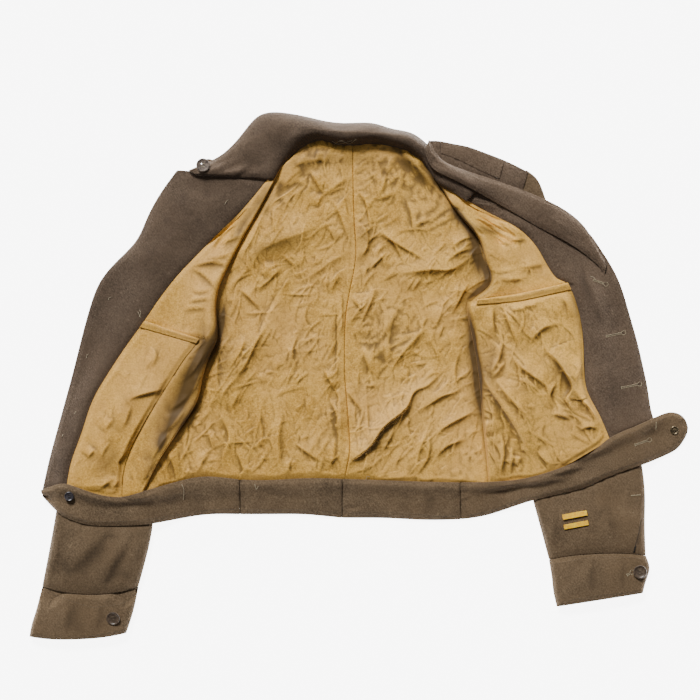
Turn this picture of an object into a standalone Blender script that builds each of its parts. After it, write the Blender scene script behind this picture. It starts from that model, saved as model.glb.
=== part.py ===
"""Short wool uniform jacket, unbuttoned and laid on its back on a table, inside up.

Right and left are the wearer's. The jacket faces the viewer from above, so its
right side lies towards -X and its left side towards +X, the collar towards +Y.
The sleeves lie straight under the open fronts and their cuffs show below the
waistband. Every cloth piece is a closed wall whose sections come from the short
tables below. Sizes are millimetres until a mesh is made, then metres.
"""
from math import cos, pi, sin

import bmesh
import bpy
import numpy as np
from mathutils import Vector
from mathutils.bvhtree import BVHTree

MM = 0.001

# ------------------------------------------------------------ driving sizes
WOOL = 1.8              # wool serge, with its interlining
FACING = 1.6
LINING = 1.2            # cotton lining
POCKET_CLOTH = 1.2
BAND = 3.4              # waistband, two layers
COLLAR = 3.2            # upper and under collar
GAP = 0.3               # between two cloths that lie on each other
STRIP_GAP = 0.8         # between a band, collar or lapel and what it lies on
PANEL_GAP = 1.8         # between a front and the sleeve or shoulder under it
CUFF_WALL = 2.4
SLEEVE_CLEARANCE = 1.0  # between a sleeve and the panel over it
SKIRT = 20.0            # width over which a panel comes down beside a sleeve
SEAM_GAP = 0.3          # between two pieces that meet edge to edge
ROLL_CLEARANCE = 0.8    # under a front's rolled edge
WELT_CROWN = (1.6, 3.0, 1.6)    # thickness across a pocket welt
WELT_GAP = 0.7
BAR_THICKNESS = 0.9
BUTTON_RADIUS = 9.5
SMALL_BUTTON_RADIUS = 6.5
SNAP_RADIUS = 6.0
CENTRE = (0.0, 2.7)     # middle of the jacket's footprint in the tables' frame

# How far around each of a cloth's points the pieces under it are looked for.
FRONT_REACH = 10.0
STRIP_REACH = 9.0
BACK_REACH = 6.0
SMALL_REACH = 4.0

# ------------------------------------------------------------ section tables
# One row for each section across a front, waist to neck. Each place is (x, y).
# radius is half the height of the rolled inner edge above the back.
FRONT_COLUMNS = ("outer", "seam", "middle", "fold", "radius")
RIGHT_FRONT = (
    ((-444, -158), (-409, -153), (-332, -171), (-302, -163), 2.2),
    ((-435, -117), (-403, -118), (-329, -124), (-280, -117), 4),
    ((-424, -76), (-388, -78), (-307, -75), (-251, -74), 6),
    ((-413, -36), (-374, -34), (-283, -34), (-225, -34), 8),
    ((-402, 4), (-354, 1), (-262, -1), (-218, -1), 10),
    ((-391, 48), (-328, 41), (-242, 30), (-207, 33), 11),
    ((-379, 93), (-301, 78), (-224, 53), (-196, 55), 11),
    ((-365, 132), (-279, 111), (-226, 94), (-199, 92), 9),
    ((-343, 160), (-253, 144), (-216, 128), (-196, 124), 7),
    ((-312, 191), (-228, 170), (-198, 162), (-179, 162), 5),
    ((-297, 225), (-197, 202), (-175, 196), (-161, 198), 4),
    ((-279, 258), (-164, 234), (-151, 233), (-139, 236), 3),
    ((-255, 291), (-127, 279), (-120, 283), (-110, 292), 2.4),
)
LEFT_FRONT = (
    ((414, -60), (351, -87), (265, -138), (183, -149), 2.4),
    ((409, -43), (336, -51), (258, -96), (179, -104), 5),
    ((405, -15), (319, -20), (248, -48), (174, -59), 8),
    ((399, 13), (315, 10), (242, -6), (171, -18), 10),
    ((391, 48), (314, 46), (235, 31), (164, 36), 11),
    ((379, 90), (309, 89), (227, 74), (155, 78), 12),
    ((367, 130), (293, 131), (223, 115), (153, 106), 11),
    ((353, 158), (276, 138), (231, 131), (185, 130), 9),
    ((340, 178), (260, 163), (218, 159), (176, 162), 9),
    ((322, 204), (246, 187), (209, 186), (169, 190), 9),
    ((290, 230), (220, 211), (186, 208), (151, 214), 8),
    ((255, 248), (179, 232), (157, 232), (134, 234), 6),
    ((169, 278), (136, 258), (127, 261), (116, 264), 3),
    ((140, 298), (120, 272), (113, 275), (105, 279), 2),
)
WELT_STATION = 6        # the section that runs along the pocket mouths

# One row for each section across the back, waist to neck.
BACK_COLUMNS = ("left", "left_half", "centre", "right_half", "right")
BACK = (
    ((-308, -166), (-165, -151), (-22, -149), (88, -151), (197, -150)),
    ((-293, -124), (-152, -112), (-13, -108), (90, -108), (193, -108)),
    ((-270, -83), (-140, -74), (-14, -71), (88, -70), (189, -66)),
    ((-241, -41), (-128, -35), (-17, -34), (85, -31), (186, -29)),
    ((-230, -4), (-124, 3), (-20, 5), (81, 7), (182, 8)),
    ((-216, 46), (-118, 52), (-20, 52), (77, 52), (174, 52)),
    ((-210, 88), (-114, 93), (-18, 92), (78, 96), (172, 100)),
    ((-207, 125), (-109, 132), (-11, 130), (92, 131), (197, 128)),
    ((-192, 164), (-98, 174), (-4, 169), (92, 172), (188, 167)),
    ((-171, 204), (-90, 219), (-6, 209), (86, 216), (175, 206)),
    ((-150, 241), (-82, 270), (-8, 260), (76, 266), (148, 241)),
    ((-121, 302), (-74, 341), (-9, 336), (66, 336), (122, 288)),
)

# One row for each section along the waistband, from its right end to the tab.
BAND_COLUMNS = ("upper", "lower")
WAISTBAND = (
    ((-446, -158), (-443, -168)),
    ((-427, -151), (-427, -184)),
    ((-409, -148), (-409, -197)),
    ((-377, -160), (-378, -207)),
    ((-337, -168), (-339, -208)),
    ((-302, -159), (-297, -206)),
    ((-263, -148), (-256, -199)),
    ((-218, -138), (-213, -192)),
    ((-168, -143), (-167, -192)),
    ((-125, -144), (-123, -192)),
    ((-76, -141), (-74, -192)),
    ((-24, -142), (-24, -197)),
    ((32, -144), (32, -197)),
    ((88, -146), (88, -200)),
    ((141, -147), (143, -199)),
    ((183, -146), (186, -192)),
    ((228, -142), (239, -173)),
    ((265, -132), (279, -164)),
    ((295, -121), (315, -155)),
    ((323, -107), (343, -142)),
    ((351, -83), (374, -130)),
    ((385, -69), (404, -120)),
    ((414, -56), (433, -108)),
    ((437, -48), (449, -98)),
    ((453, -53), (460, -80)),
    ((459, -61), (462, -70)),
)
BAND_PIECES = (         # name, first and last section
    ("waistband_right", 0, 8),
    ("waistband_back_right", 8, 11),
    ("waistband_back_left", 11, 14),
    ("waistband_left", 14, 25),
)

# One row for each section along the collar, from its right end. lift is how far
# its roll stands above the neck seam.
COLLAR_COLUMNS = ("neck", "leaf", "lift")
COLLAR_SECTIONS = (
    ((-228, 283), (-239, 290), 1),
    ((-202, 281), (-217, 300), 2),
    ((-169, 279), (-193, 312), 4),
    ((-141, 279), (-172, 332), 6),
    ((-120, 276), (-157, 351), 9),
    ((-109, 296), (-141, 368), 13),
    ((-85, 318), (-116, 373), 16),
    ((-57, 333), (-77, 367), 17),
    ((-35, 327), (-48, 360), 17),
    ((-10, 324), (-20, 357), 17),
    ((18, 328), (18, 358), 17),
    ((43, 324), (46, 349), 16),
    ((67, 317), (77, 343), 14),
    ((91, 300), (102, 321), 11),
    ((111, 270), (125, 296), 7),
    ((132, 259), (147, 279), 3),
    ((151, 246), (168, 265), 1),
)

# One row for each section along the left lapel, turned over onto the facing.
LAPEL_COLUMNS = ("fold", "edge")
LAPEL = (
    ((98, 333), (91, 316)),
    ((108, 312), (101, 293)),
    ((122, 300), (119, 282)),
    ((146, 291), (143, 271)),
    ((182, 279), (182, 250)),
    ((223, 264), (220, 228)),
    ((258, 250), (252, 209)),
    ((293, 232), (284, 193)),
    ((319, 208), (312, 176)),
    ((337, 176), (336, 156)),
    ((347, 160), (344, 144)),
)

# One row for each section down a sleeve, armhole to wrist. height is the tube's,
# bow is how far the section's middle lies below its ends.
SLEEVE_COLUMNS = ("left", "right", "height", "bow")
RIGHT_SLEEVE = (
    ((-240, 250), (-203, 250), 6, 0),
    ((-276, 200), (-203, 195), 7, 0),
    ((-322, 111), (-222, 108), 8, 0),
    ((-355, 38), (-240, 38), 8, 0),
    ((-386, -31), (-266, -31), 8, 0),
    ((-410, -102), (-286, -102), 8, 0),
    ((-421, -164), (-288, -164), 8, 0),
    ((-427, -202), (-287, -204), 9, 0),
    ((-435, -247), (-296, -247), 13, 4),
    ((-444, -292), (-309, -293), 11, 13),
)
RIGHT_CUFF = (
    ((-444, -292.4), (-309, -293.4), 11, 13),
    ((-452, -324), (-314, -320), 12, 10),
    ((-459, -346), (-321, -344), 12, 8),
    ((-462, -363), (-326, -358), 12, 7),
)
LEFT_SLEEVE = (
    ((212, 262), (235, 291), 5, 0),
    ((213, 243), (250, 281), 6, 0),
    ((213, 222), (258, 264), 7, 0),
    ((212, 192), (268, 230), 8, 0),
    ((211, 136), (306, 150), 8, 0),
    ((213, 66), (340, 74), 8, 0),
    ((218, -31), (372, -24), 8, 0),
    ((228, -88), (387, -74), 8, 0),
    ((238, -146), (399, -130), 8, 0),
    ((244, -174), (402, -169), 9, 0),
    ((253, -206), (400, -202), 13, 0),
    ((266, -255), (402, -249), 11, -6),
)
LEFT_CUFF = (
    ((266, -255.4), (402, -249.4), 11, -6),
    ((270, -280), (408, -267), 12, -4),
    ((272, -300), (402, -286), 12, -2),
    ((277, -321), (398, -302), 12, 0),
)

# One row for each section along the left shoulder and its loop, neck outwards.
SHOULDER_COLUMNS = ("upper", "lower")
SHOULDER = (
    ((99, 332), (104, 302)),
    ((112, 332), (122, 288)),
    ((132, 328), (144, 276)),
    ((153, 324), (169, 268)),
    ((175, 316), (189, 262)),
    ((206, 304), (206, 262)),
    ((237, 288), (226, 252)),
)
LEFT_LOOP = (
    ((115, 330), (115, 314)),
    ((132, 326), (130, 309)),
    ((153, 322), (149, 301)),
    ((175, 314), (170, 290)),
    ((203, 303), (197, 278)),
)
RIGHT_LOOP = (
    ((-206, 280), (-184, 278)),
    ((-220, 299), (-202, 303)),
    ((-222, 304), (-212, 307)),
)

# The largest folds: height, half width, and the line each follows.
FOLD_COLUMNS = ("height", "width", "line")
BACK_FOLDS = (
    (5.0, 13, ((-109, 124), (-132, 74), (-154, 34), (-186, -16), (-196, -38))),
    (5.5, 12, ((-13, -114), (20, -86), (57, -47), (97, -8))),
    (4.0, 12, ((-183, 94), (-196, 19), (-203, -48))),
    (4.0, 14, ((43, 148), (108, 150), (152, 172))),
    (4.0, 12, ((125, 85), (146, 128))),
    (4.5, 13, ((-165, 162), (-120, 188), (-48, 218))),
    (4.0, 12, ((78, -50), (146, -16))),
    (3.0, 12, ((-109, -37), (-108, -135))),
    (3.5, 11, ((-34, 248), (-14, 183))),
    (3.5, 12, ((104, -88), (157, -48))),
    (3.0, 11, ((-34, 100), (-32, 2))),
    (3.5, 12, ((7, 216), (0, 160))),
)
RIGHT_POCKET_FOLDS = (
    (3.0, 13, ((-323, -34), (-262, -15))),
    (2.5, 12, ((-350, -86), (-332, -40))),
)
LEFT_POCKET_FOLDS = (
    (4.0, 12, ((175, 4), (202, -43), (242, -113))),
    (3.5, 12, ((210, 34), (255, -16))),
    (4.0, 12, ((281, 22), (291, -24), (320, -56))),
)

# name, (x, y), radius, finish
BUTTONS = (
    ("cuff_button_right", (-344, -337), BUTTON_RADIUS, "button"),
    ("cuff_button_left", (393, -272), BUTTON_RADIUS, "button"),
    ("waistband_button", (-405, -166), SMALL_BUTTON_RADIUS, "button"),
    ("shoulder_button", (-218, 297), BUTTON_RADIUS, "button"),
    ("tab_snap", (442, -74), SNAP_RADIUS, "brass"),
)
# share of the radius, and height
BUTTON_PROFILE = ((0.70, 0.0), (0.97, 0.9), (1.0, 1.6), (0.92, 2.4), (0.78, 2.4), (0.62, 1.7))
BUTTON_MIDDLE = 1.5
BUTTON_SIDES = 16
# corner, length and width of each bar sewn on the left sleeve
SLEEVE_BARS = (
    ("sleeve_bar_upper", (284, -192), 34, 7),
    ("sleeve_bar_lower", (286, -206), 34, 6.5),
)
BAR_SLOPE = 0.19        # the bars rise a little towards the sleeve's outer edge

# name, colour, roughness, metallic
MATERIALS = {
    "wool": ((0.115, 0.086, 0.060), 0.95, 0.0),
    "facing": ((0.100, 0.080, 0.064), 0.95, 0.0),
    "lining": ((0.560, 0.370, 0.150), 0.80, 0.0),
    "gold": ((0.830, 0.480, 0.080), 0.60, 0.0),
    "button": ((0.055, 0.040, 0.028), 0.45, 0.0),
    "brass": ((0.120, 0.095, 0.060), 0.50, 0.7),
}


# ------------------------------------------------------------ curves and folds
def column(table, columns, name):
    """One named column of a table, as an array."""
    at = columns.index(name)
    return np.array([row[at] for row in table], dtype=float)


def smooth(values, steps):
    """A smooth run through values, read at each of steps (0 to last row)."""
    values = np.asarray(values, dtype=float)
    last = len(values) - 1
    padded = np.concatenate([[2 * values[0] - values[1]], values,
                             [2 * values[-1] - values[-2]]])
    steps = np.asarray(steps, dtype=float)
    first = np.clip(np.floor(steps).astype(int), 0, last - 1)
    t = steps - first
    if values.ndim > 1:
        t = t[:, None]
    a, b, c, d = (padded[first + k] for k in range(4))
    return b + 0.5 * t * ((c - a) + t * ((2 * a - 5 * b + 4 * c - d)
                                         + t * (3 * (b - c) + d - a)))


def ease(t):
    t = np.clip(t, 0.0, 1.0)
    return t * t * (3 - 2 * t)


def distance_to_line(places, line):
    """Distance in plan from each place to a broken line."""
    best = np.full(places.shape[:-1], np.inf)
    for start, end in zip(line[:-1], line[1:]):
        start, run = np.array(start, float), np.subtract(end, start).astype(float)
        along = np.clip(((places - start) @ run) / (run @ run), 0, 1)
        nearest = start + along[..., None] * run
        best = np.minimum(best, np.linalg.norm(places - nearest, axis=-1))
    return best


def fold_height(places, folds):
    """Height that the listed folds add at each place."""
    total = np.zeros(places.shape[:-1])
    for height, width, line in folds:
        total += height * np.exp(-(distance_to_line(places, line) / width) ** 2)
    return total


def edge_fade(count, reach):
    """0 at both ends of a row of points and 1 from reach points in."""
    steps = np.arange(count)
    return ease(np.minimum(steps, count - 1 - steps) / reach)


# ------------------------------------------------------------ the table under it
def sleeve_rails(table, samples=60):
    """A sleeve's edges and height, wrist to armhole."""
    steps = np.linspace(len(table) - 1, 0, samples)
    return [smooth(column(table, SLEEVE_COLUMNS, name), steps)
            for name in ("left", "right", "height")]


def ground(places):
    """Height of the table, or of the sleeve that lies under a panel, at each place."""
    lift = np.zeros(places.shape[:-1])
    x, y = places[..., 0], places[..., 1]
    for table in (RIGHT_SLEEVE, LEFT_SLEEVE):
        left, right, height = sleeve_rails(table)
        low = np.interp(y, left[:, 1], left[:, 0])
        high = np.interp(y, right[:, 1], right[:, 0])
        top = np.interp(y, left[:, 1], height)
        aside = np.maximum(0, np.maximum(low - x, x - high))
        beyond = np.maximum(0, y - max(left[-1, 1], right[-1, 1]))
        away = np.hypot(aside, beyond)
        lift = np.maximum(lift, (top + SLEEVE_CLEARANCE) * (1 - ease(away / SKIRT)))
    return lift


# ------------------------------------------------------------ solids
def material(name):
    made = bpy.data.materials.get(name)
    if made is None:
        colour, roughness, metallic = MATERIALS[name]
        made = bpy.data.materials.new(name)
        made.use_nodes = True
        shader = made.node_tree.nodes["Principled BSDF"]
        shader.inputs["Base Color"].default_value = (*colour, 1)
        shader.inputs["Roughness"].default_value = roughness
        shader.inputs["Metallic"].default_value = metallic
    return made


def make_object(name, points, faces, finish):
    """One closed solid from points in millimetres, faces turned outwards."""
    points = (np.asarray(points, dtype=float) - (*CENTRE, 0.0)) * MM
    mesh = bpy.data.meshes.new(name)
    mesh.from_pydata(points.tolist(), [], faces)
    work = bmesh.new()
    work.from_mesh(mesh)
    if work.calc_volume(signed=True) < 0:
        bmesh.ops.reverse_faces(work, faces=work.faces)
    work.to_mesh(mesh)
    work.free()
    mesh.materials.append(material(finish))
    mesh.shade_smooth()
    made = bpy.data.objects.new(name, mesh)
    bpy.context.scene.collection.objects.link(made)
    return made


def two_triangles(a, b, c, d):
    return [(a, b, c), (a, c, d)]


def wall(name, top, under, finish):
    """A closed wall between two grids of points with the same rows and columns."""
    rows, columns = top.shape[:2]
    count = rows * columns
    upper = np.arange(count).reshape(rows, columns)
    lower = upper + count
    faces = []
    for i in range(rows - 1):
        for j in range(columns - 1):
            a, b = upper[i, j], upper[i + 1, j]
            c, d = upper[i + 1, j + 1], upper[i, j + 1]
            faces += two_triangles(a, b, c, d)
            faces += [(r + count, q + count, p + count)
                      for p, q, r in two_triangles(a, b, c, d)]
    rim = ([(i, 0) for i in range(rows)] + [(rows - 1, j) for j in range(1, columns)]
           + [(i, columns - 1) for i in range(rows - 2, -1, -1)]
           + [(0, j) for j in range(columns - 2, 0, -1)])
    for here, there in zip(rim, rim[1:] + rim[:1]):
        faces += two_triangles(upper[there], upper[here], lower[here], lower[there])
    points = np.concatenate([top.reshape(-1, 3), under.reshape(-1, 3)])
    return make_object(name, points, [tuple(int(v) for v in f) for f in faces], finish)


def tube(name, outside, inside, finish):
    """An open-ended tube between two stacks of rings."""
    rings, around = outside.shape[:2]
    count = rings * around
    faces = []
    for i in range(rings - 1):
        for j in range(around):
            k = (j + 1) % around
            a, b = i * around + j, (i + 1) * around + j
            c, d = (i + 1) * around + k, i * around + k
            faces += two_triangles(a, b, c, d)
            faces += [(r + count, q + count, p + count)
                      for p, q, r in two_triangles(a, b, c, d)]
    for end, turn in ((0, 1), (rings - 1, -1)):
        for j in range(around):
            k = (j + 1) % around
            a, b = end * around + j, end * around + k
            faces += [f[::turn] for f in two_triangles(a, b, b + count, a + count)]
    points = np.concatenate([outside.reshape(-1, 3), inside.reshape(-1, 3)])
    return make_object(name, points, faces, finish)


def raised(places, heights):
    """Points at the given places and heights."""
    return np.concatenate([places, np.asarray(heights)[..., None]], axis=-1)


def sheet(name, places, under, thickness, finish):
    """A wall of even thickness whose under side lies at the given heights."""
    return wall(name, raised(places, under + thickness), raised(places, under), finish)


def plan(table, columns, names, cells, per_section, first=0, last=None):
    """Grid of places across a table's rails, cells between each two of them."""
    last = len(table) - 1 if last is None else last
    steps = np.linspace(first, last, (last - first) * per_section + 1)
    rails = [smooth(column(table, columns, name), steps) for name in names]
    grid = []
    for near, far, count in zip(rails[:-1], rails[1:], cells):
        grid += [near + (far - near) * k / count for k in range(count)]
    grid.append(rails[-1])
    return np.stack(grid, axis=1)


def top_of(pieces, places, reach):
    """Highest point of the given pieces near each place, or 0 on the table."""
    trees = []
    for piece in pieces:
        mesh = piece.data
        corners = [v.co for v in mesh.vertices]
        trees.append(BVHTree.FromPolygons(corners, [p.vertices for p in mesh.polygons]))
    around = [(0, 0)] + [(reach * cos(k * pi / 4), reach * sin(k * pi / 4))
                         for k in range(8 if reach else 0)]
    heights = np.zeros(places.shape[:-1])
    for index in np.ndindex(heights.shape):
        for dx, dy in around:
            x = (places[index][0] + dx - CENTRE[0]) * MM
            y = (places[index][1] + dy - CENTRE[1]) * MM
            for tree in trees:
                hit = tree.ray_cast(Vector((x, y, 1)), Vector((0, 0, -1)))[0]
                if hit is not None:
                    heights[index] = max(heights[index], hit.z / MM)
    return heights


def between(grid, parts):
    """A grid read again with its cells' two triangles cut into parts each way."""
    rows, columns = (np.arange((count - 1) * parts + 1) for count in grid.shape[:2])
    i = np.minimum(rows // parts, grid.shape[0] - 2)[:, None]
    j = np.minimum(columns // parts, grid.shape[1] - 2)[None, :]
    down, across = np.broadcast_arrays(rows[:, None] / parts - i, columns[None, :] / parts - j)
    a, b, c, d = grid[i, j], grid[i + 1, j], grid[i + 1, j + 1], grid[i, j + 1]
    if grid.ndim > 2:
        down, across = down[..., None], across[..., None]
    return np.where(down >= across, a + down * (b - a) + across * (c - b),
                    a + across * (d - a) + down * (c - d))


def resting(pieces, places, reach, gap=GAP):
    """Height at which a cloth laid over the table and the given pieces lies clear
    of them, also between its own points."""
    heights = top_of(pieces, places, reach)
    heights = np.maximum(ground(places), np.where(heights > 0, heights + gap, 0.0))
    parts = 6
    inside = between(places, parts)
    needed = top_of(pieces, inside, 0)
    needed = np.where(needed > 0, needed + gap, 0.0)
    for _ in range(4):
        short = np.maximum(0, needed - between(heights, parts))
        lift = np.zeros_like(heights)
        for i, j in zip(*np.nonzero(short)):
            for row in {i // parts, -(-i // parts)}:
                for across in {j // parts, -(-j // parts)}:
                    lift[row, across] = max(lift[row, across], short[i, j])
        heights = heights + lift
    return heights


# ------------------------------------------------------------ sleeves and cuffs
RING_POINTS = 18
SLEEVE_SQUARENESS = 3.2     # 2 is an ellipse, more is boxier
FLATTENING = 1.35           # how much of the under side lies on the table


def rings(table, per_section, wall_thickness):
    """Outer and inner rings of a tube that lies flattened on the table."""
    steps = np.linspace(0, len(table) - 1, (len(table) - 1) * per_section + 1)
    left = smooth(column(table, SLEEVE_COLUMNS, "left"), steps)
    right = smooth(column(table, SLEEVE_COLUMNS, "right"), steps)
    height = smooth(column(table, SLEEVE_COLUMNS, "height"), steps)
    bow = smooth(column(table, SLEEVE_COLUMNS, "bow"), steps)
    angle = np.arange(RING_POINTS) * 2 * pi / RING_POINTS
    across = np.sign(np.cos(angle)) * np.abs(np.cos(angle)) ** (2 / SLEEVE_SQUARENESS)
    upright = np.sign(np.sin(angle)) * np.abs(np.sin(angle)) ** (2 / SLEEVE_SQUARENESS)
    upright = np.maximum(-1, np.where(upright < 0, upright * FLATTENING, upright))
    stacks = []
    for inset in (0.0, wall_thickness):
        rows = []
        for l, r, tall, sag in zip(left, right, height, bow):
            middle, half = (l + r) / 2, (r - l) / 2
            half = half * (1 - inset / np.linalg.norm(half))
            ring = middle + across[:, None] * half
            ring[:, 1] -= sag * (1 - across ** 2)
            rows.append(raised(ring, tall / 2 + (tall / 2 - inset) * upright))
        stacks.append(np.stack(rows))
    return stacks


def build_sleeves():
    made = []
    for side, sleeve, cuff in (("right", RIGHT_SLEEVE, RIGHT_CUFF),
                               ("left", LEFT_SLEEVE, LEFT_CUFF)):
        made.append(tube(f"sleeve_{side}", *rings(sleeve, 1, WOOL), "wool"))
        made.append(tube(f"cuff_{side}", *rings(cuff, 2, CUFF_WALL), "wool"))
    return made


# ------------------------------------------------------------ back
BACK_CELLS = (6, 6, 6, 6)
CENTRE_CELL = 12        # the centre seam's place in the grid


def build_back(sleeves):
    """Wool back on the table, and its lining in two halves with a centre seam."""
    places = plan(BACK, BACK_COLUMNS, BACK_COLUMNS, BACK_CELLS, 2)
    coarse = places[::2, ::2]
    rest = resting(sleeves, coarse, BACK_REACH, PANEL_GAP)
    shell = sheet("back_shell", coarse, rest, WOOL, "wool")
    under = np.maximum(ground(places) + WOOL + GAP, resting([shell], places, SMALL_REACH))
    inner = np.outer(edge_fade(places.shape[0], 3), edge_fade(places.shape[1], 3))
    under = under + fold_height(places, BACK_FOLDS) * inner
    half = CENTRE_CELL
    right, left = places[:, :half + 1].copy(), places[:, half:].copy()
    right[:, -1, 0] -= SEAM_GAP / 2
    left[:, 0, 0] += SEAM_GAP / 2
    return [shell, sheet("back_lining_right", right, under[:, :half + 1], LINING, "lining"),
            sheet("back_lining_left", left, under[:, half:], LINING, "lining")]


# ------------------------------------------------------------ fronts
FACING_CELLS = 3
LINING_CELLS = 4
RIM_CELLS = 3
ROLL_ANGLES = (90, 45, 0, -45, -90)
WELT_SHARES = (0.25, 0.42)  # of a cell, on each side of the pocket's mouth


def build_front(side, table, rim_power, pocket_cells, pocket_turns, puff, folds, below):
    """Wool front, facing, lining with its rolled inner edge, pocket and welt. The
    pocket covers pocket_cells cells and then turns over the roll by pocket_turns."""
    steps = np.linspace(0, len(table) - 1, (len(table) - 1) * 2 + 1)
    rails = {name: smooth(column(table, FRONT_COLUMNS, name), steps)
             for name in FRONT_COLUMNS}
    inward = rails["fold"] - rails["middle"]
    inward /= np.linalg.norm(inward, axis=1)[:, None]
    radius = rails["radius"]
    crest = rails["fold"] - inward * radius[:, None]
    under_roll = np.stack([crest, (crest + rails["fold"]) / 2, rails["fold"]], axis=1)
    rest = resting(below, under_roll, BACK_REACH, ROLL_CLEARANCE).max(axis=1)
    cells = ((rails["outer"], rails["seam"], FACING_CELLS),
             (rails["seam"], rails["middle"], LINING_CELLS),
             (rails["middle"], crest, RIM_CELLS))
    places = np.stack([near + (far - near) * k / count
                       for near, far, count in cells for k in range(count)] + [crest], axis=1)
    seam = FACING_CELLS
    flat = resting(below, places, FRONT_REACH, PANEL_GAP) + WOOL + GAP
    along = np.linalg.norm(np.diff(places[:, seam:], axis=1), axis=2)
    travelled = np.concatenate([np.zeros((len(steps), 1)), np.cumsum(along, axis=1)], axis=1)
    share = travelled / travelled[:, -1:]
    crest_under = rest + 2 * radius - LINING
    rise = np.zeros_like(flat)
    rise[:, seam:] = (crest_under - flat[:, -1])[:, None] * share ** rim_power
    under = flat + np.maximum(rise, 0)

    shell_end = places.shape[1] - 1
    shell = sheet(f"front_shell_{side}", places[:, :shell_end],
                  under[:, :shell_end] - GAP - WOOL, WOOL, "wool")

    toward = np.sign(places[0, seam, 0] - places[0, seam - 1, 0])
    outer_part = places[:, :seam + 1].copy()
    outer_part[:, -1, 0] -= toward * SEAM_GAP / 2
    facing = sheet(f"facing_{side}", outer_part, under[:, :seam + 1], FACING, "facing")

    inner_part = places[:, seam:].copy()
    inner_part[:, 0, 0] += toward * SEAM_GAP / 2
    top = raised(inner_part, under[:, seam:] + LINING)
    low = raised(inner_part, under[:, seam:])
    middle_height = rest + radius
    for degrees in ROLL_ANGLES[1:]:
        turn = degrees * pi / 180
        for grid_name, size in (("top", radius), ("low", radius - LINING)):
            place = crest + inward * (size * cos(turn))[:, None]
            ring = raised(place, middle_height + size * sin(turn))[:, None]
            if grid_name == "top":
                top = np.concatenate([top, ring], axis=1)
            else:
                low = np.concatenate([low, ring], axis=1)
    lining = wall(f"front_lining_{side}", top, low, "lining")

    mouth = WELT_STATION * 2 + 1
    bag = inner_part[:mouth, :pocket_cells + 1]
    inner = np.outer(np.minimum(1, np.arange(mouth) / 3)
                     * np.minimum(1, np.arange(mouth, 0, -1) / 2),
                     edge_fade(pocket_cells + 1, 2))
    swell = (puff + fold_height(bag, folds)) * inner
    bag_under = under[:mouth, seam:seam + pocket_cells + 1] + LINING + GAP + swell
    low, top = raised(bag, bag_under), raised(bag, bag_under + POCKET_CLOTH)
    for degrees in pocket_turns:
        turn = degrees * pi / 180
        for outside in (False, True):
            size = radius[:mouth] + GAP + POCKET_CLOTH * outside
            place = crest[:mouth] + inward[:mouth] * (size * cos(turn))[:, None]
            ring = raised(place, middle_height[:mouth] + size * sin(turn))[:, None]
            if outside:
                top = np.concatenate([top, ring], axis=1)
            else:
                low = np.concatenate([low, ring], axis=1)
    pocket = wall(f"pocket_{side}", top, low, "lining")

    edge = bag[-1], bag[-1] + (bag[-2] - bag[-1]) * WELT_SHARES[1]
    welt_places = np.stack([edge[0] - (edge[1] - edge[0]) * WELT_SHARES[0], edge[0], edge[1]])
    welt_under = resting([lining, pocket], welt_places, SMALL_REACH, WELT_GAP)
    crown = np.array(WELT_CROWN)[:, None]
    welt = wall(f"pocket_welt_{side}", raised(welt_places, welt_under + crown),
                raised(welt_places, welt_under), "lining")
    return [shell, facing, lining, pocket, welt]


# ------------------------------------------------------------ bands and strips
BAND_CELLS = 6
COLLAR_CELLS = 7
LAPEL_CELLS = 4
SHOULDER_CELLS = 3
LOOP_CELLS = 2
THIN_EDGE = 0.6         # a strip's thickness at its long edges, as a share


def lying_strip(name, table, columns, cells, below, thickness, finish,
                first=0, last=None, reach=STRIP_REACH, lift=0.0):
    """A doubled strip laid on the pieces below it, thinner at its long edges."""
    places = plan(table, columns, columns[:2], (cells,), 2, first, last)
    under = resting(below, places, reach, STRIP_GAP)
    across = np.linspace(0, 1, cells + 1)
    under = under + np.asarray(lift)[..., None] * (4 * across * (1 - across))[None, :]
    crown = np.full(cells + 1, 1.0)
    crown[[0, -1]] = THIN_EDGE
    return wall(name, raised(places, under + thickness * crown[None, :]),
                raised(places, under), finish)


def build_waistband(below):
    made = []
    for name, first, last in BAND_PIECES:
        made.append(lying_strip(name, WAISTBAND, BAND_COLUMNS, BAND_CELLS, below, BAND, "wool",
                                first=first, last=last))
    return made


# ------------------------------------------------------------ small hard pieces
def build_button(name, place, radius, finish, below):
    """A dished button: a turned disc with a raised rim."""
    place = np.array(place, dtype=float)
    rest = float(top_of(below, place[None, :], radius)[0]) + GAP
    points = [(*place, rest)]
    for share, height in BUTTON_PROFILE:
        for k in range(BUTTON_SIDES):
            turn = 2 * pi * k / BUTTON_SIDES
            points.append((place[0] + radius * share * cos(turn),
                           place[1] + radius * share * sin(turn), rest + height))
    points.append((*place, rest + BUTTON_MIDDLE))
    faces = []
    last = 1 + (len(BUTTON_PROFILE) - 1) * BUTTON_SIDES
    for k in range(BUTTON_SIDES):
        after = (k + 1) % BUTTON_SIDES
        faces.append((0, 1 + after, 1 + k))
        for ring in range(len(BUTTON_PROFILE) - 1):
            a, b = 1 + ring * BUTTON_SIDES + k, 1 + ring * BUTTON_SIDES + after
            faces += two_triangles(a, b, b + BUTTON_SIDES, a + BUTTON_SIDES)
        faces.append((last + k, last + after, len(points) - 1))
    return make_object(name, points, faces, finish)


def build_bar(name, corner, length, width, below):
    across = np.linspace(0, 1, 7)
    along = corner[0] + length * across
    rise = corner[1] + BAR_SLOPE * length * across
    slant = width * 0.2
    places = np.stack([np.stack([along + slant * k, rise - width * k], axis=1)
                       for k in (0, 0.5, 1)])
    under = top_of([below], places, 3) + GAP
    return sheet(name, places, under, BAR_THICKNESS, "gold")


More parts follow.
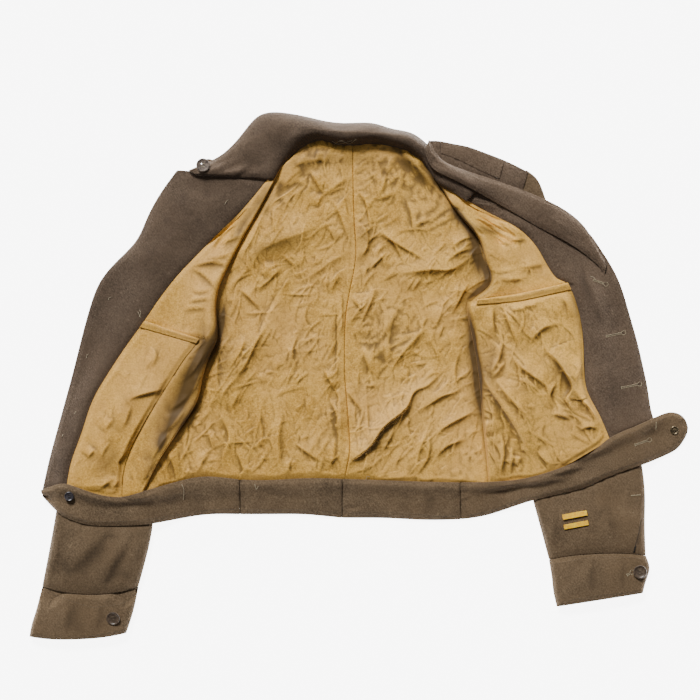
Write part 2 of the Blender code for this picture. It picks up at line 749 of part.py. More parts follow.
def build():
    sleeves = build_sleeves()
    back = build_back(sleeves)
    shoulder = lying_strip("shoulder_left", SHOULDER, SHOULDER_COLUMNS, SHOULDER_CELLS,
                           sleeves + back, WOOL, "wool")
    left_loop = lying_strip("shoulder_loop_left", LEFT_LOOP, SHOULDER_COLUMNS, LOOP_CELLS,
                            [shoulder], WOOL, "wool", reach=SMALL_REACH)
    right_loop = lying_strip("shoulder_loop_right", RIGHT_LOOP, SHOULDER_COLUMNS, LOOP_CELLS,
                             [], WOOL, "wool")
    below = sleeves + back + [shoulder, left_loop, right_loop]
    right = build_front("right", RIGHT_FRONT, 2.0, 4, (), 3.0, RIGHT_POCKET_FOLDS, below)
    left = build_front("left", LEFT_FRONT, 2.4, 7, (45, 0), 5.0, LEFT_POCKET_FOLDS, below)
    build_waistband(back + right + left)
    collar_steps = np.linspace(0, len(COLLAR_SECTIONS) - 1, (len(COLLAR_SECTIONS) - 1) * 2 + 1)
    lift = smooth(column(COLLAR_SECTIONS, COLLAR_COLUMNS, "lift"), collar_steps)
    collar = lying_strip("collar", COLLAR_SECTIONS, COLLAR_COLUMNS, COLLAR_CELLS,
                         back + right + left + [shoulder, left_loop, right_loop], COLLAR,
                         "wool", lift=lift)
    lapel = lying_strip("lapel_left", LAPEL, LAPEL_COLUMNS, LAPEL_CELLS,
                        left + [shoulder, left_loop, collar], COLLAR, "wool")
    below = sleeves + back + right + left + [collar, lapel, right_loop]
    below += [bpy.data.objects[name] for name, _, _ in BAND_PIECES]
    for name, place, radius, finish in BUTTONS:
        build_button(name, place, radius, finish, below)
    for name, corner, length, width in SLEEVE_BARS:
        build_bar(name, corner, length, width, sleeves[2])


for old in list(bpy.data.objects):
    bpy.data.objects.remove(old, do_unlink=True)
build()
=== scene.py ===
"""Looks of a short wool uniform jacket that lies on its back, unbuttoned and open.

Right and left are the wearer's. The collar lies towards +Y and the jacket's right
side towards -X. The tables are millimetres in the jacket's own frame, and meshes
are metres. Every cloth piece is its solid cut into fine faces, with the creases of
the tables raised on the side that shows. What is sewn on lies on the finished cloth.
"""
from collections import namedtuple
from math import cos, pi, radians, sin

import bmesh
import bpy
import numpy as np
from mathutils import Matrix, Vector
from mathutils.bvhtree import BVHTree


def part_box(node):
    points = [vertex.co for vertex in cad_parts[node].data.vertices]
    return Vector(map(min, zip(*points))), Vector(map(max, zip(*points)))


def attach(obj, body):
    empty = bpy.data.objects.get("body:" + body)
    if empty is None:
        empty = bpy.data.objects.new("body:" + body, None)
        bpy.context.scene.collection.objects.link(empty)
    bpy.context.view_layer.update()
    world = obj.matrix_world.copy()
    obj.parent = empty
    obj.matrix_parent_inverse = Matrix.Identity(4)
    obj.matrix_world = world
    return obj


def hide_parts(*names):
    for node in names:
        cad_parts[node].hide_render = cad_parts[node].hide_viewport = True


MM = 0.001
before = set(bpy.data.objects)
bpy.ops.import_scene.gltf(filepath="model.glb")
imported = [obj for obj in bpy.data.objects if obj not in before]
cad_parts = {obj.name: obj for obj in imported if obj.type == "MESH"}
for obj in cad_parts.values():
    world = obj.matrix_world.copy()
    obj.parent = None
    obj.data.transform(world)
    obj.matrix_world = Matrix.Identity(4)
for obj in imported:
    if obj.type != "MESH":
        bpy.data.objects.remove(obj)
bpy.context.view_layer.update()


# ------------------------------------------------------------ creases
# (height, width on the sharp side, width on the soft side, the line it follows), mm.
# The sharp side is to the left of the line. A negative height is a trough.
BACK_CREASES = (
    (3.2, 3, 9, ((111, 260), (95, 275), (80, 292), (66, 306), (53, 317), (41, 326))),
    (-1.6, 4, 8, ((46, 313), (60, 302), (74, 286), (91, 268), (108, 251))),
    (2.4, 8, 14, ((-41, 215), (-62, 208), (-88, 197), (-115, 187), (-144, 172), (-167, 158))),
    (3.2, 3, 9, ((-136, 228), (-141, 214), (-154, 186), (-167, 158))),
    (1.8, 2, 6, ((-120, 201), (-120, 229), (-125, 240))),
    (2.2, 3, 8, ((-132, 135), (-130, 163))),
    (2.6, 3, 9, ((-104, 156), (-130, 130), (-148, 117))),
    (1.6, 2, 6, ((-84, 146), (-92, 156), (-111, 172))),
    (1.4, 2, 6, ((-76, 173), (-83, 151))),
    (-3.0, 5, 6, ((-109, 123), (-122, 104), (-133, 83), (-143, 51))),
    (2.2, 2, 8, ((-134, 89), (-153, 109), (-169, 124))),
    (1.9, 4, 10, ((-7, 176), (-41, 159), (-53, 149), (-84, 130))),
    (1.9, 3, 9, ((-11, 281), (-25, 271), (-41, 260), (-53, 253))),
    (2.0, 2, 8, ((-50, 256), (-59, 271), (-69, 291))),
    (2.0, 2, 6, ((-52, 256), (-59, 235))),
    (3.0, 3, 8, ((-8, 181), (-17, 201), (-28, 230), (-41, 253))),
    (1.8, 2, 6, ((-32, 187), (-43, 211))),
    (3.4, 3, 8, ((-4, 218), (10, 202), (11, 179), (-3, 159))),
    (2.4, 2, 8, ((17, 200), (10, 243), (-7, 264))),
    (2.2, 2, 8, ((67, 151), (57, 172), (45, 190), (20, 207))),
    (2.4, 2, 9, ((101, 158), (59, 181), (24, 202))),
    (2.4, 2, 8, ((42, 176), (25, 159), (11, 145))),
    (1.8, 2, 6, ((38, 149), (31, 173))),
    (3.0, 4, 12, ((171, 184), (154, 165), (130, 149), (101, 148), (74, 145), (41, 142))),
    (1.6, 2, 7, ((57, 263), (39, 251), (17, 247))),
    (1.8, 2, 7, ((84, 184), (77, 209), (74, 229), (64, 251))),
    (2.0, 3, 7, ((-25, 145), (-35, 128), (-41, 113))),
    (-2.6, 3, 4, ((-31, 106), (-32, 71), (-32, 37), (-34, -2))),
    (2.0, 2, 6, ((-25, 120), (-24, 85), (-24, 50))),
    (2.8, 3, 9, ((15, 131), (20, 114), (10, 89), (-1, 67))),
    (1.8, 2, 6, ((6, 89), (-11, 113))),
    (2.0, 2, 7, ((55, 99), (49, 83), (42, 68), (42, 46))),
    (1.6, 2, 6, ((88, 139), (74, 117))),
    (3.0, 3, 10, ((-125, 78), (-144, 46), (-161, 12), (-181, -10))),
    (2.4, 3, 7, ((-158, 60), (-165, 36), (-186, 5))),
    (2.0, 3, 8, ((-167, 1), (-186, -19), (-196, -41))),
    (2.0, 3, 8, ((-165, -17), (-181, -51))),
    (1.2, 2, 5, ((-132, -12), (-140, 4))),
    (2.2, 3, 7, ((-109, -40), (-109, -62), (-113, -86), (-111, -122), (-106, -141))),
    (2.0, 2, 9, ((-43, -125), (-69, -110), (-95, -90))),
    (1.8, 2, 6, ((-95, -113), (-99, -132), (-92, -145))),
    (2.6, 3, 6, ((-28, -111), (-27, -69), (-28, -30), (-34, -5))),
    (2.4, 2, 6, ((-31, -23), (-41, -6), (-50, 11))),
    (2.0, 2, 6, ((-27, -82), (-31, -54), (-41, -30))),
    (2.4, 3, 8, ((-35, -82), (-36, -113), (-45, -135))),
    (2.0, 2, 7, ((10, -55), (-11, -29), (-28, -12))),
    (5.5, 3, 8, ((97, -10), (77, -22), (66, -45), (35, -71), (15, -99), (-11, -120), (-18, -143))),
    (2.0, 2, 6, ((17, -96), (7, -107), (-10, -121))),
    (2.8, 3, 8, ((28, -2), (17, 11), (10, 27), (3, 46))),
    (2.4, 3, 8, ((101, 75), (73, 44), (57, 26), (36, -8))),
    (1.4, 2, 5, ((0, 11), (-3, -26))),
    (1.6, 2, 5, ((20, -23), (13, 9))),
    (1.4, 2, 5, ((-7, -40), (-6, -73))),
    (1.4, 2, 5, ((0, -51), (0, -93))),
    (1.8, 2, 5, ((10, -30), (13, -93))),
    (1.8, 2, 7, ((52, -73), (29, -113))),
    (2.6, 3, 8, ((4, -139), (11, -115), (7, -101))),
    (2.2, 3, 9, ((99, -72), (85, -103), (78, -139))),
    (1.4, 2, 5, ((67, 12), (67, -8))),
    (1.6, 2, 6, ((36, 58), (42, 36), (38, 22))),
    (2.2, 2, 7, ((155, 134), (141, 107), (130, 86))),
    (2.8, 3, 8, ((150, -9), (136, -22), (116, -29), (97, -41), (77, -52))),
    (2.8, 3, 9, ((168, -38), (158, -51), (130, -66), (113, -78), (101, -96))),
    (2.8, 3, 9, ((155, -87), (123, -99), (101, -122))),
    (2.0, 2, 7, ((97, -76), (97, -113), (78, -143))),
    (1.8, 2, 7, ((122, 12), (97, -13), (77, -24), (59, -59))),
    (2.0, 3, 8, ((123, 18), (130, 43), (123, 67))),
    (1.6, 2, 7, ((119, 106), (113, 81), (102, 64))),
    (2.2, 3, 8, ((-214, -31), (-237, -61), (-256, -92))),
    (2.0, 2, 7, ((-253, -153), (-258, -127), (-270, -99))),
    (2.4, 3, 9, ((-192, -132), (-189, -110), (-181, -87), (-186, -68), (-199, -44))),
    (1.8, 2, 6, ((-209, -106), (-223, -127), (-218, -141))),
    (2.2, 3, 7, ((-195, 53), (-199, 11), (-197, -41))),
    (1.8, 2, 6, ((-203, -104), (-210, -76))),
    (1.8, 2, 7, ((-157, -145), (-164, -122), (-172, -100))),
    (1.6, 2, 6, ((-83, 64), (-94, 33), (-88, 5))),
    (1.4, 2, 6, ((-69, 106), (-76, 81), (-66, 55))),
    (1.4, 2, 5, ((-69, -62), (-74, -27))),
    (1.4, 2, 5, ((-144, -48), (-136, -79), (-141, -104))),
    (2.0, 3, 8, ((-32, 299), (-55, 302), (-83, 298), (-98, 281))),
    (2.2, 3, 9, ((-80, 288), (-94, 279), (-109, 261))),
    (1.8, 2, 6, ((-122, 274), (-136, 263), (-144, 239))),
    (1.6, 2, 6, ((-55, 298), (-59, 316))),
    (1.6, 2, 7, ((38, 288), (34, 265), (24, 246))),
    (1.6, 2, 6, ((144, 162), (136, 176), (130, 195))),
    (2.0, 2, 7, ((167, 195), (144, 190), (126, 176))),
    (1.8, 2, 7, ((164, 180), (141, 173), (120, 159))),
    (1.6, 2, 6, ((144, 43), (134, 8), (139, -27))),
)
RIGHT_LINING_CREASES = (
    (2.2, 2, 9, ((-178, 153), (-203, 159), (-235, 153))),
    (1.4, 2, 7, ((-196, 120), (-217, 142), (-237, 153))),
    (1.6, 3, 8, ((-172, 176), (-192, 167), (-216, 165))),
    (1.4, 2, 8, ((-158, 201), (-172, 193), (-200, 186))),
    (1.2, 2, 6, ((-204, 109), (-223, 107), (-242, 104))),
    (1.0, 2, 6, ((-203, 123), (-220, 118), (-237, 120))),
    (1.2, 2, 6, ((-211, 95), (-228, 95), (-248, 93))),
    (1.6, 2, 5, ((-204, 67), (-218, 46), (-234, 30))),
    (1.9, 2, 6, ((-213, 36), (-227, 11), (-245, -8))),
    (1.4, 2, 5, ((-221, 5), (-228, -15), (-242, -31))),
    (2.0, 2, 6, ((-234, -23), (-251, -40), (-267, -48))),
    (1.7, 2, 6, ((-242, -45), (-258, -68), (-279, -80))),
    (2.2, 2, 6, ((-262, -76), (-279, -100), (-293, -122))),
    (1.5, 2, 5, ((-281, -111), (-293, -132), (-298, -152))),
)
RIGHT_POCKET_CREASES = (
    (3.0, 2, 12, ((-259, -19), (-277, -20), (-311, -29), (-326, -38))),
    (1.8, 2, 7, ((-319, -40), (-325, -62), (-333, -79))),
    (1.6, 2, 6, ((-343, -58), (-356, -79))),
    (3.0, 2, 12, ((-277, -20), (-291, -50), (-307, -78), (-326, -108), (-336, -121), (-333, -135),
                (-330, -171))),
    (2.3, 3, 8, ((-336, -139), (-361, -155), (-389, -163))),
    (1.8, 2, 6, ((-333, -143), (-346, -160))),
    (1.6, 2, 6, ((-368, -101), (-379, -115))),
    (3.4, 4, 14, ((-279, -103), (-307, -121), (-330, -135))),
    (1.4, 2, 6, ((-346, -90), (-357, -107), (-361, -121))),
    (1.4, 2, 8, ((-293, 43), (-284, 27), (-293, 8))),
)
LEFT_LINING_CREASES = (
    (2.0, 5, 12, ((209, 204), (188, 202), (167, 205), (150, 215))),
    (1.4, 5, 10, ((234, 195), (218, 205), (209, 218))),
    (1.8, 2, 9, ((237, 193), (214, 188), (193, 183))),
    (1.8, 3, 10, ((265, 159), (239, 153), (218, 151))),
    (1.6, 2, 8, ((239, 139), (214, 134), (192, 137))),
    (1.4, 2, 7, ((139, 226), (130, 239), (119, 251))),
)
LEFT_POCKET_CREASES = (
    (2.9, 2, 5, ((186, 100), (186, 78), (189, 53))),
    (3.6, 3, 7, ((228, 30), (216, 58), (207, 81), (197, 104))),
    (2.2, 2, 5, ((217, 89), (213, 106))),
    (1.9, 2, 5, ((227, 107), (230, 89))),
    (1.9, 2, 5, ((242, 110), (244, 95))),
    (2.4, 2, 6, ((295, 78), (290, 102), (281, 120))),
    (3.8, 3, 9, ((266, -31), (262, -15), (230, 9), (211, 29))),
    (3.6, 3, 9, ((245, -68), (209, -29), (188, 1))),
    (6.6, 4, 11, ((242, -118), (224, -80), (199, -41), (172, -2), (164, 30))),
    (2.9, 2, 6, ((181, -87), (174, -59))),
    (3.1, 2, 6, ((197, -76), (202, -107), (196, -146))),
    (2.9, 2, 6, ((181, -127), (171, -104), (158, -79))),
    (6.0, 3, 10, ((321, -55), (301, -50), (290, -33), (297, -15), (277, 20), (263, 36), (263, 54))),
    (3.4, 3, 7, ((318, 27), (308, 8), (300, -15))),
    (4.1, 3, 8, ((344, -78), (326, -51), (312, -34), (297, -15))),
    (2.4, 2, 7, ((298, -61), (281, -55), (266, -52))),
    (2.6, 2, 7, ((272, -131), (259, -117), (248, -103))),
    (2.2, 2, 6, ((225, -111), (221, -127))),
    (3.1, 3, 8, ((181, 53), (197, 33), (181, -1))),
    (2.9, 3, 8, ((279, 75), (253, 64), (237, 43))),
    (2.4, 2, 6, ((337, -76), (323, -71), (307, -76))),
    (2.4, 3, 8, ((204, 22), (193, 5), (182, -3))),
    (2.6, 2, 6, ((276, -6), (266, -27), (272, -45))),
    (2.2, 2, 6, ((214, -97), (213, -121), (209, -143))),
)
RIGHT_FACING_CREASES = (
    (1.2, 4, 22, ((-311, 188), (-293, 205), (-272, 228))),
    (0.9, 5, 14, ((-419, -62), (-398, -34), (-385, 5))),
    (0.9, 6, 16, ((-410, -132), (-421, -104), (-416, -76))),
    (0.8, 5, 14, ((-379, 43), (-368, 75), (-346, 106))),
    (0.8, 6, 18, ((-293, 155), (-265, 190), (-228, 221))),
    (0.7, 5, 14, ((-242, 260), (-216, 247), (-186, 251))),
)
LEFT_FACING_CREASES = (
    (2.2, 5, 14, ((343, 89), (333, 106), (323, 131), (315, 159))),
    (1.7, 5, 14, ((354, 64), (342, 83), (326, 111))),
    (1.4, 6, 16, ((281, 159), (302, 134), (312, 106))),
    (1.2, 6, 16, ((337, 22), (349, -13), (343, -48))),
    (1.2, 5, 14, ((386, 36), (393, 8), (388, -27))),
    (1.1, 5, 14, ((197, 232), (225, 214), (253, 193))),
)
BAND_CREASES = (
    (0.8, 4, 8, ((-167, -152), (-165, -191))),
    (0.7, 4, 8, ((-146, -152), (-146, -191))),
    (0.8, 4, 9, ((88, -152), (87, -199))),
    (0.8, 4, 9, ((143, -153), (139, -199))),
    (0.7, 4, 8, ((183, -152), (181, -194))),
    (0.9, 5, 12, ((-367, -178), (-328, -191), (-293, -181))),
    (0.7, 4, 10, ((-83, -153), (-57, -171), (-52, -194))),
    (0.8, 5, 12, ((281, -135), (316, -146), (346, -129))),
    (0.7, 5, 12, ((-419, -171), (-398, -191), (-374, -199))),
    (0.7, 4, 10, ((-242, -155), (-234, -177), (-239, -195))),
)
RIGHT_SLEEVE_CREASES = (
    (3.6, 5, 16, ((-351, -212), (-374, -237), (-409, -274))),
    (4.2, 4, 12, ((-318, -211), (-329, -237), (-343, -257), (-374, -311))),
    (2.0, 4, 12, ((-416, -202), (-421, -237), (-433, -286))),
    (1.8, 4, 12, ((-298, -216), (-312, -247), (-323, -286))),
)
LEFT_SLEEVE_CREASES = (
    (1.4, 5, 16, ((342, -188), (347, -216), (347, -247))),
    (2.2, 2, 14, ((395, -174), (393, -201), (388, -230), (384, -250))),
    (1.4, 5, 16, ((281, -174), (270, -216), (276, -253))),
    (1.2, 5, 14, ((302, -237), (330, -225), (365, -216))),
)
RIGHT_CUFF_CREASES = (
    (1.8, 4, 14, ((-402, -311), (-410, -335), (-421, -370))),
    (1.6, 4, 14, ((-365, -317), (-370, -345), (-382, -367))),
)
LEFT_CUFF_CREASES = (
    (1.4, 4, 12, ((323, -253), (319, -283), (323, -311))),
    (1.2, 4, 12, ((368, -253), (363, -283), (368, -310))),
)
COLLAR_CREASES = (
    (1.2, 4, 12, ((-112, 324), (-90, 333), (-59, 342))),
    (1.4, 4, 12, ((-213, 244), (-197, 251), (-181, 257))),
    (1.0, 5, 14, ((-169, 316), (-150, 331), (-127, 342))),
    (1.0, 5, 14, ((-192, 285), (-172, 302), (-154, 305))),
    (0.9, 5, 14, ((50, 340), (74, 330), (97, 313))),
)
LAPEL_CREASES = (
    (1.2, 4, 12, ((134, 285), (164, 277), (195, 263))),
    (1.4, 4, 12, ((253, 229), (276, 215), (300, 201))),
    (1.0, 4, 12, ((314, 195), (323, 181), (332, 165))),
)
SHOULDER_CREASES = (
    (1.6, 4, 12, ((115, 310), (146, 310), (183, 302))),
    (1.2, 4, 10, ((235, 279), (234, 263))),
    (1.2, 5, 12, ((197, 293), (214, 277), (220, 265))),
)
LEFT_WELT_CREASES = (
    (0.5, 1, 1, ((179, 117), (176, 107))),
    (0.6, 1, 1, ((185, 118), (182, 107))),
    (0.4, 1, 1, ((189, 118), (188, 109))),
    (0.6, 1, 1, ((195, 118), (193, 109))),
    (0.5, 1, 1, ((202, 118), (199, 109))),
    (0.4, 1, 1, ((207, 120), (206, 110))),
    (0.5, 1, 1, ((214, 120), (211, 110))),
    (0.3, 1, 1, ((221, 121), (220, 111))),
    (0.4, 1, 1, ((231, 123), (230, 113))),
    (0.3, 1, 1, ((244, 124), (242, 114))),
    (0.3, 1, 2, ((259, 127), (258, 117))),
)
RIGHT_WELT_CREASES = (
    (0.5, 1, 2, ((-297, 90), (-301, 72))),
    (0.4, 1, 1, ((-304, 93), (-307, 75))),
    (0.3, 1, 2, ((-279, 85), (-284, 67))),
    (0.3, 2, 2, ((-253, 72), (-259, 57))),
)
# Painted shade where a lining lies deep between folds: (how dark, widths, line).
PAINTED_SHADE_PLACES = (
    (0.55, 10, 8, ((-326, -93), (-346, -118), (-365, -135), (-377, -143))),
    (0.5, 12, 9, ((-122, 260), (-97, 293), (-62, 307), (-20, 305), (29, 302), (74, 277))),
    (0.65, 8, 8, ((-158, 218), (-141, 240), (-116, 277))),
    (1.7, 6, 5, ((-186, 123), (-189, 95), (-192, 75), (-196, 58), (-206, 32), (-218, -1))),
    (0.8, 5, 6, ((-141, 239), (-154, 223), (-167, 201), (-178, 173))),
    (1.1, 4, 4, ((-214, -17), (-228, -45), (-239, -59), (-251, -76), (-265, -99))),
    (1.3, 4, 4, ((-266, -76), (-274, -93), (-279, -113))),
    (0.8, 5, 6, ((-206, 111), (-216, 78), (-217, 43), (-228, 8), (-239, -27), (-256, -62))),
    (1.35, 5, 12, ((-197, 75), (-210, 41), (-224, 8), (-237, -22), (-256, -57), (-279, -92),
                (-300, -129))),
    (0.6, 6, 7, ((-279, -99), (-293, -132), (-301, -160))),
    (1.1, 3, 5, ((35, 327), (57, 312), (76, 295), (92, 277), (111, 257))),
    (1.6, 3, 3, ((84, 306), (97, 288), (108, 272), (119, 257), (130, 240))),
    (1.9, 3, 5, ((116, 257), (134, 235), (146, 219), (157, 205), (165, 186), (171, 167),
                (178, 148), (182, 128))),
    (1.8, 4, 4, ((172, 170), (181, 142), (179, 127), (165, 116), (150, 106), (139, 97))),
    (1.8, 4, 6, ((169, 117), (153, 104), (155, 81), (160, 58), (162, 36), (167, 8), (169, -23),
                (172, -76), (172, -99))),
    (0.75, 6, 9, ((150, 193), (160, 170), (167, 148), (167, 120))),
    (0.8, 5, 5, ((153, 215), (171, 207), (188, 202), (209, 205))),
    (0.6, 5, 5, ((126, 242), (139, 225), (150, 215))),
    (0.8, 4, 5, ((284, 130), (304, 102), (312, 71), (315, 36))),
    (0.6, 6, 8, ((263, 43), (276, 19), (295, -17), (301, -45))),
    (0.6, 5, 8, ((183, 64), (188, 36), (183, 1), (197, -34))),
    (0.6, 8, 9, ((-167, 159), (-136, 176), (-104, 187), (-69, 201))),
    (0.6, 6, 7, ((-7, -121), (18, -100), (41, -73), (66, -48))),
    (0.5, 8, 9, ((-178, 64), (-183, 36), (-192, 5), (-203, -29))),
    (0.5, 6, 8, ((-4, 215), (10, 195), (10, 176))),
)


# ------------------------------------------------------------ sewn lines, mm
BUTTONHOLES = (
    ((346, 55), (371, 60)),
    ((367, -17), (393, -12)),
    ((328, 134), (346, 128)),
    ((386, -97), (407, -90)),
    ((375, -279), (382, -275)),
)
WOOL_ROWS = (
    ((-437, -160), (-433, -138), (-427, -120), (-427, -99), (-419, -83), (-410, -55), (-396, -6),
     (-385, 43), (-374, 69), (-367, 100), (-361, 123), (-350, 138), (-330, 159), (-305, 183)),
    ((407, -51), (400, -17), (392, 19), (382, 57), (374, 86), (360, 123), (346, 145)),
    ((-438, -159), (-430, -173), (-413, -188), (-388, -201), (-357, -204), (-307, -202),
     (-258, -195), (-206, -188), (-139, -188), (-83, -188), (-25, -192)),
    ((-20, -192), (52, -192), (126, -197), (182, -190), (242, -167), (297, -156), (339, -139),
     (393, -120), (433, -104), (451, -90), (455, -76), (449, -62), (438, -57), (421, -64)),
    ((356, -92), (370, -83), (385, -79), (400, -71), (412, -64)),
    ((-456, -362), (-423, -369), (-379, -365), (-346, -359), (-332, -360)),
    ((-440, -302), (-416, -311), (-377, -323), (-360, -323), (-337, -320), (-312, -313)),
    ((294, -314), (337, -307), (391, -303)),
    ((269, -265), (294, -260), (321, -255), (347, -254), (382, -255), (399, -257)),
    ((276, -316), (269, -286)),
)
LINING_ROWS = (
    ((-291, 83), (-246, 62), (-217, 53)),
    ((-298, 76), (-259, 60), (-223, 48)),
    ((178, 110), (203, 113), (252, 119), (290, 128)),
    ((186, 116), (230, 115), (262, 121), (287, 131)),
    ((-276, -22), (-293, -52), (-309, -80), (-329, -110), (-337, -124), (-336, -141), (-335, -166)),
)
BAR_TACKS = (
    ((381, -168), (394, -167)),
    ((416, -65), (416, -76)),
)
THREAD_TICKS = (
    ((-188, 239), (-186, 243), (-183, 246)),
    ((-351, 106), (-350, 109), (-347, 110)),
    ((-382, 25), (-381, 29), (-379, 30)),
    ((-398, -54), (-396, -50)),
    ((-38, 328), (-29, 324), (-18, 326), (-10, 328)),
    ((-35, 324), (-25, 328), (-14, 324), (-4, 330)),
    ((10, -146), (11, -141), (15, -142)),
    ((-146, -152), (-144, -159), (-141, -155)),
    ((-246, -174), (-245, -160), (-248, -152)),
    ((323, 139), (329, 137), (332, 132)),
    ((-307, 92), (-305, 88), (-307, 82)),
    ((-309, 89), (-307, 85), (-305, 81)),
    ((-416, -86), (-414, -82)),
)


# ------------------------------------------------------------ the cloth pieces
# levels: how often the solid is cut finer. lean: direction of a lining's small
# creases, degrees. crumple: height of the cloth's own unevenness, mm. flat and area:
# the cut, metres and square metres. Upper layers come first, so that each piece keeps
# under those that are done.
Cloth = namedtuple("Cloth", "node levels lean finish slot crumple creases flat area rests_on")
CLOTHS = (
    Cloth("lapel_left", 3, 0, "facing", "wool_facing", 0.5, LAPEL_CREASES,
          (0.045, 0.30), 0.0096, ["facing_left"]),
    Cloth("collar", 2, 0, "facing", "wool_outer", 0.5, COLLAR_CREASES,
          (0.055, 0.47), 0.0225, ["back_lining_right", "back_lining_left"]),
    Cloth("waistband_right", 3, 0, "wool", "wool_outer", 0.5, BAND_CREASES,
          (0.052, 0.29), 0.0148, ["facing_right", "front_lining_right"]),
    Cloth("waistband_back_right", 3, 0, "wool", "wool_outer", 0.4, BAND_CREASES,
          (0.055, 0.15), 0.0081, ["back_shell"]),
    Cloth("waistband_back_left", 3, 0, "wool", "wool_outer", 0.4, BAND_CREASES,
          (0.057, 0.175), 0.0098, ["back_shell"]),
    Cloth("waistband_left", 3, 0, "wool", "wool_outer", 0.5, BAND_CREASES,
          (0.055, 0.33), 0.0171, ["facing_left", "front_lining_left"]),
    Cloth("pocket_welt_right", 4, 0, "lining", "cotton_lining", 0.15, RIGHT_WELT_CREASES,
          (0.012, 0.085), 0.0010, ["pocket_right"]),
    Cloth("pocket_welt_left", 4, 0, "lining", "cotton_lining", 0.3, LEFT_WELT_CREASES,
          (0.014, 0.12), 0.0016, ["pocket_left"]),
    Cloth("pocket_right", 4, 62, "lining", "cotton_lining", 0.32, RIGHT_POCKET_CREASES,
          (0.10, 0.25), 0.0208, ["front_lining_right"]),
    Cloth("pocket_left", 4, 124, "lining", "cotton_lining", 1.2, LEFT_POCKET_CREASES,
          (0.165, 0.27), 0.0420, ["front_lining_left"]),
    Cloth("front_lining_right", 3, 20, "lining", "cotton_lining", 0.4,
          RIGHT_LINING_CREASES, (0.15, 0.48), 0.0500, ["front_shell_right"]),
    Cloth("front_lining_left", 3, 140, "lining", "cotton_lining", 0.6,
          LEFT_LINING_CREASES, (0.18, 0.46), 0.0600, ["front_shell_left"]),
    Cloth("facing_right", 3, 0, "facing", "wool_facing", 0.7, RIGHT_FACING_CREASES,
          (0.13, 0.52), 0.0370, ["front_shell_right"]),
    Cloth("facing_left", 3, 0, "facing", "wool_facing", 0.7, LEFT_FACING_CREASES,
          (0.12, 0.50), 0.0315, ["front_shell_left"]),
    Cloth("front_shell_right", 1, 0, "wool", "wool_outer", 0.0, (),
          (0.20, 0.49), 0.0740, ["sleeve_right"]),
    Cloth("front_shell_left", 1, 0, "wool", "wool_outer", 0.0, (),
          (0.22, 0.50), 0.0730, ["sleeve_left"]),
    Cloth("back_lining_right", 4, 58, "lining", "cotton_lining", 1.3, BACK_CREASES,
          (0.31, 0.51), 0.0980, ["back_shell"]),
    Cloth("back_lining_left", 4, 52, "lining", "cotton_lining", 1.3, BACK_CREASES,
          (0.22, 0.49), 0.0910, ["back_shell"]),
    Cloth("shoulder_loop_left", 3, 0, "facing", "wool_outer", 0.2, (),
          (0.028, 0.095), 0.0021, ["shoulder_left"]),
    Cloth("shoulder_left", 3, 0, "facing", "wool_outer", 0.4, SHOULDER_CREASES,
          (0.07, 0.15), 0.0060, []),
    Cloth("shoulder_loop_right", 3, 0, "wool", "wool_outer", 0.2, (),
          (0.022, 0.035), 0.0006, []),
    Cloth("back_shell", 2, 0, "wool", "wool_outer", 0.0, (),
          (0.51, 0.51), 0.1850, []),
    Cloth("sleeve_right", 3, 0, "wool", "wool_outer", 0.8, RIGHT_SLEEVE_CREASES,
          (0.27, 0.55), 0.1270, []),
    Cloth("sleeve_left", 3, 0, "wool", "wool_outer", 0.8, LEFT_SLEEVE_CREASES,
          (0.27, 0.55), 0.1330, []),
    Cloth("cuff_right", 3, 0, "wool", "wool_outer", 0.5, RIGHT_CUFF_CREASES,
          (0.285, 0.07), 0.0188, []),
    Cloth("cuff_left", 3, 0, "wool", "wool_outer", 0.5, LEFT_CUFF_CREASES,
          (0.28, 0.066), 0.0180, []),
)


# ------------------------------------------------------------ curves and unevenness
def smooth_line(points, per_span=6):
    """A smooth run through a few points, as many places to each span."""
    points = np.asarray(points, float)
    padded = np.vstack([2 * points[0] - points[1], points, 2 * points[-1] - points[-2]])
    made = []
    for k in range(len(points) - 1):
        a, b, c, d = padded[k:k + 4]
        for t in np.arange(per_span) / per_span:
            made.append(b + 0.5 * t * ((c - a) + t * ((2 * a - 5 * b + 4 * c - d)
                                                      + t * (3 * (b - c) + d - a))))
    return np.array(made + [points[-1]])


def ease(t):
    """Rises smoothly from 0 to 1 as t does."""
    t = np.clip(t, 0.0, 1.0)
    return t * t * (3 - 2 * t)


def lattice_noise(x, y, seed):
    """Smooth noise from -1 to 1 with a wavelength of about 2."""
    left, low = np.floor(x).astype(np.int64), np.floor(y).astype(np.int64)
    u, v = x - left, y - low

    def slope(i, j, du, dv):
        mixed = (i * 374761393 + j * 668265263 + seed * 144269504) & 0xFFFFFFFF
        mixed = ((mixed ^ (mixed >> 13)) * 1274126177) & 0xFFFFFFFF
        turn = ((mixed ^ (mixed >> 16)) & 0xFFFF) * (2 * pi / 0x10000)
        return np.cos(turn) * du + np.sin(turn) * dv

    across, up = ease(u), ease(v)
    near = slope(left, low, u, v) * (1 - across) + slope(left + 1, low, u - 1, v) * across
    far = (slope(left, low + 1, u, v - 1) * (1 - across)
           + slope(left + 1, low + 1, u - 1, v - 1) * across)
    return 1.5 * (near * (1 - up) + far * up)


CREASE_POWER = 1.05     # 1 is a sharp fold, 2 a round one
SOFT_SPREAD = 1.7       # the soft side falls off this many times its width
CREASE_REACH = 2.6      # and ends at this many times that
END_TAPER = 2.4         # a crease fades over 1 / 2.4 of its length at each end
CREASE_GAIN = {"lining": 1.55, "wool": 1.0, "facing": 1.0}


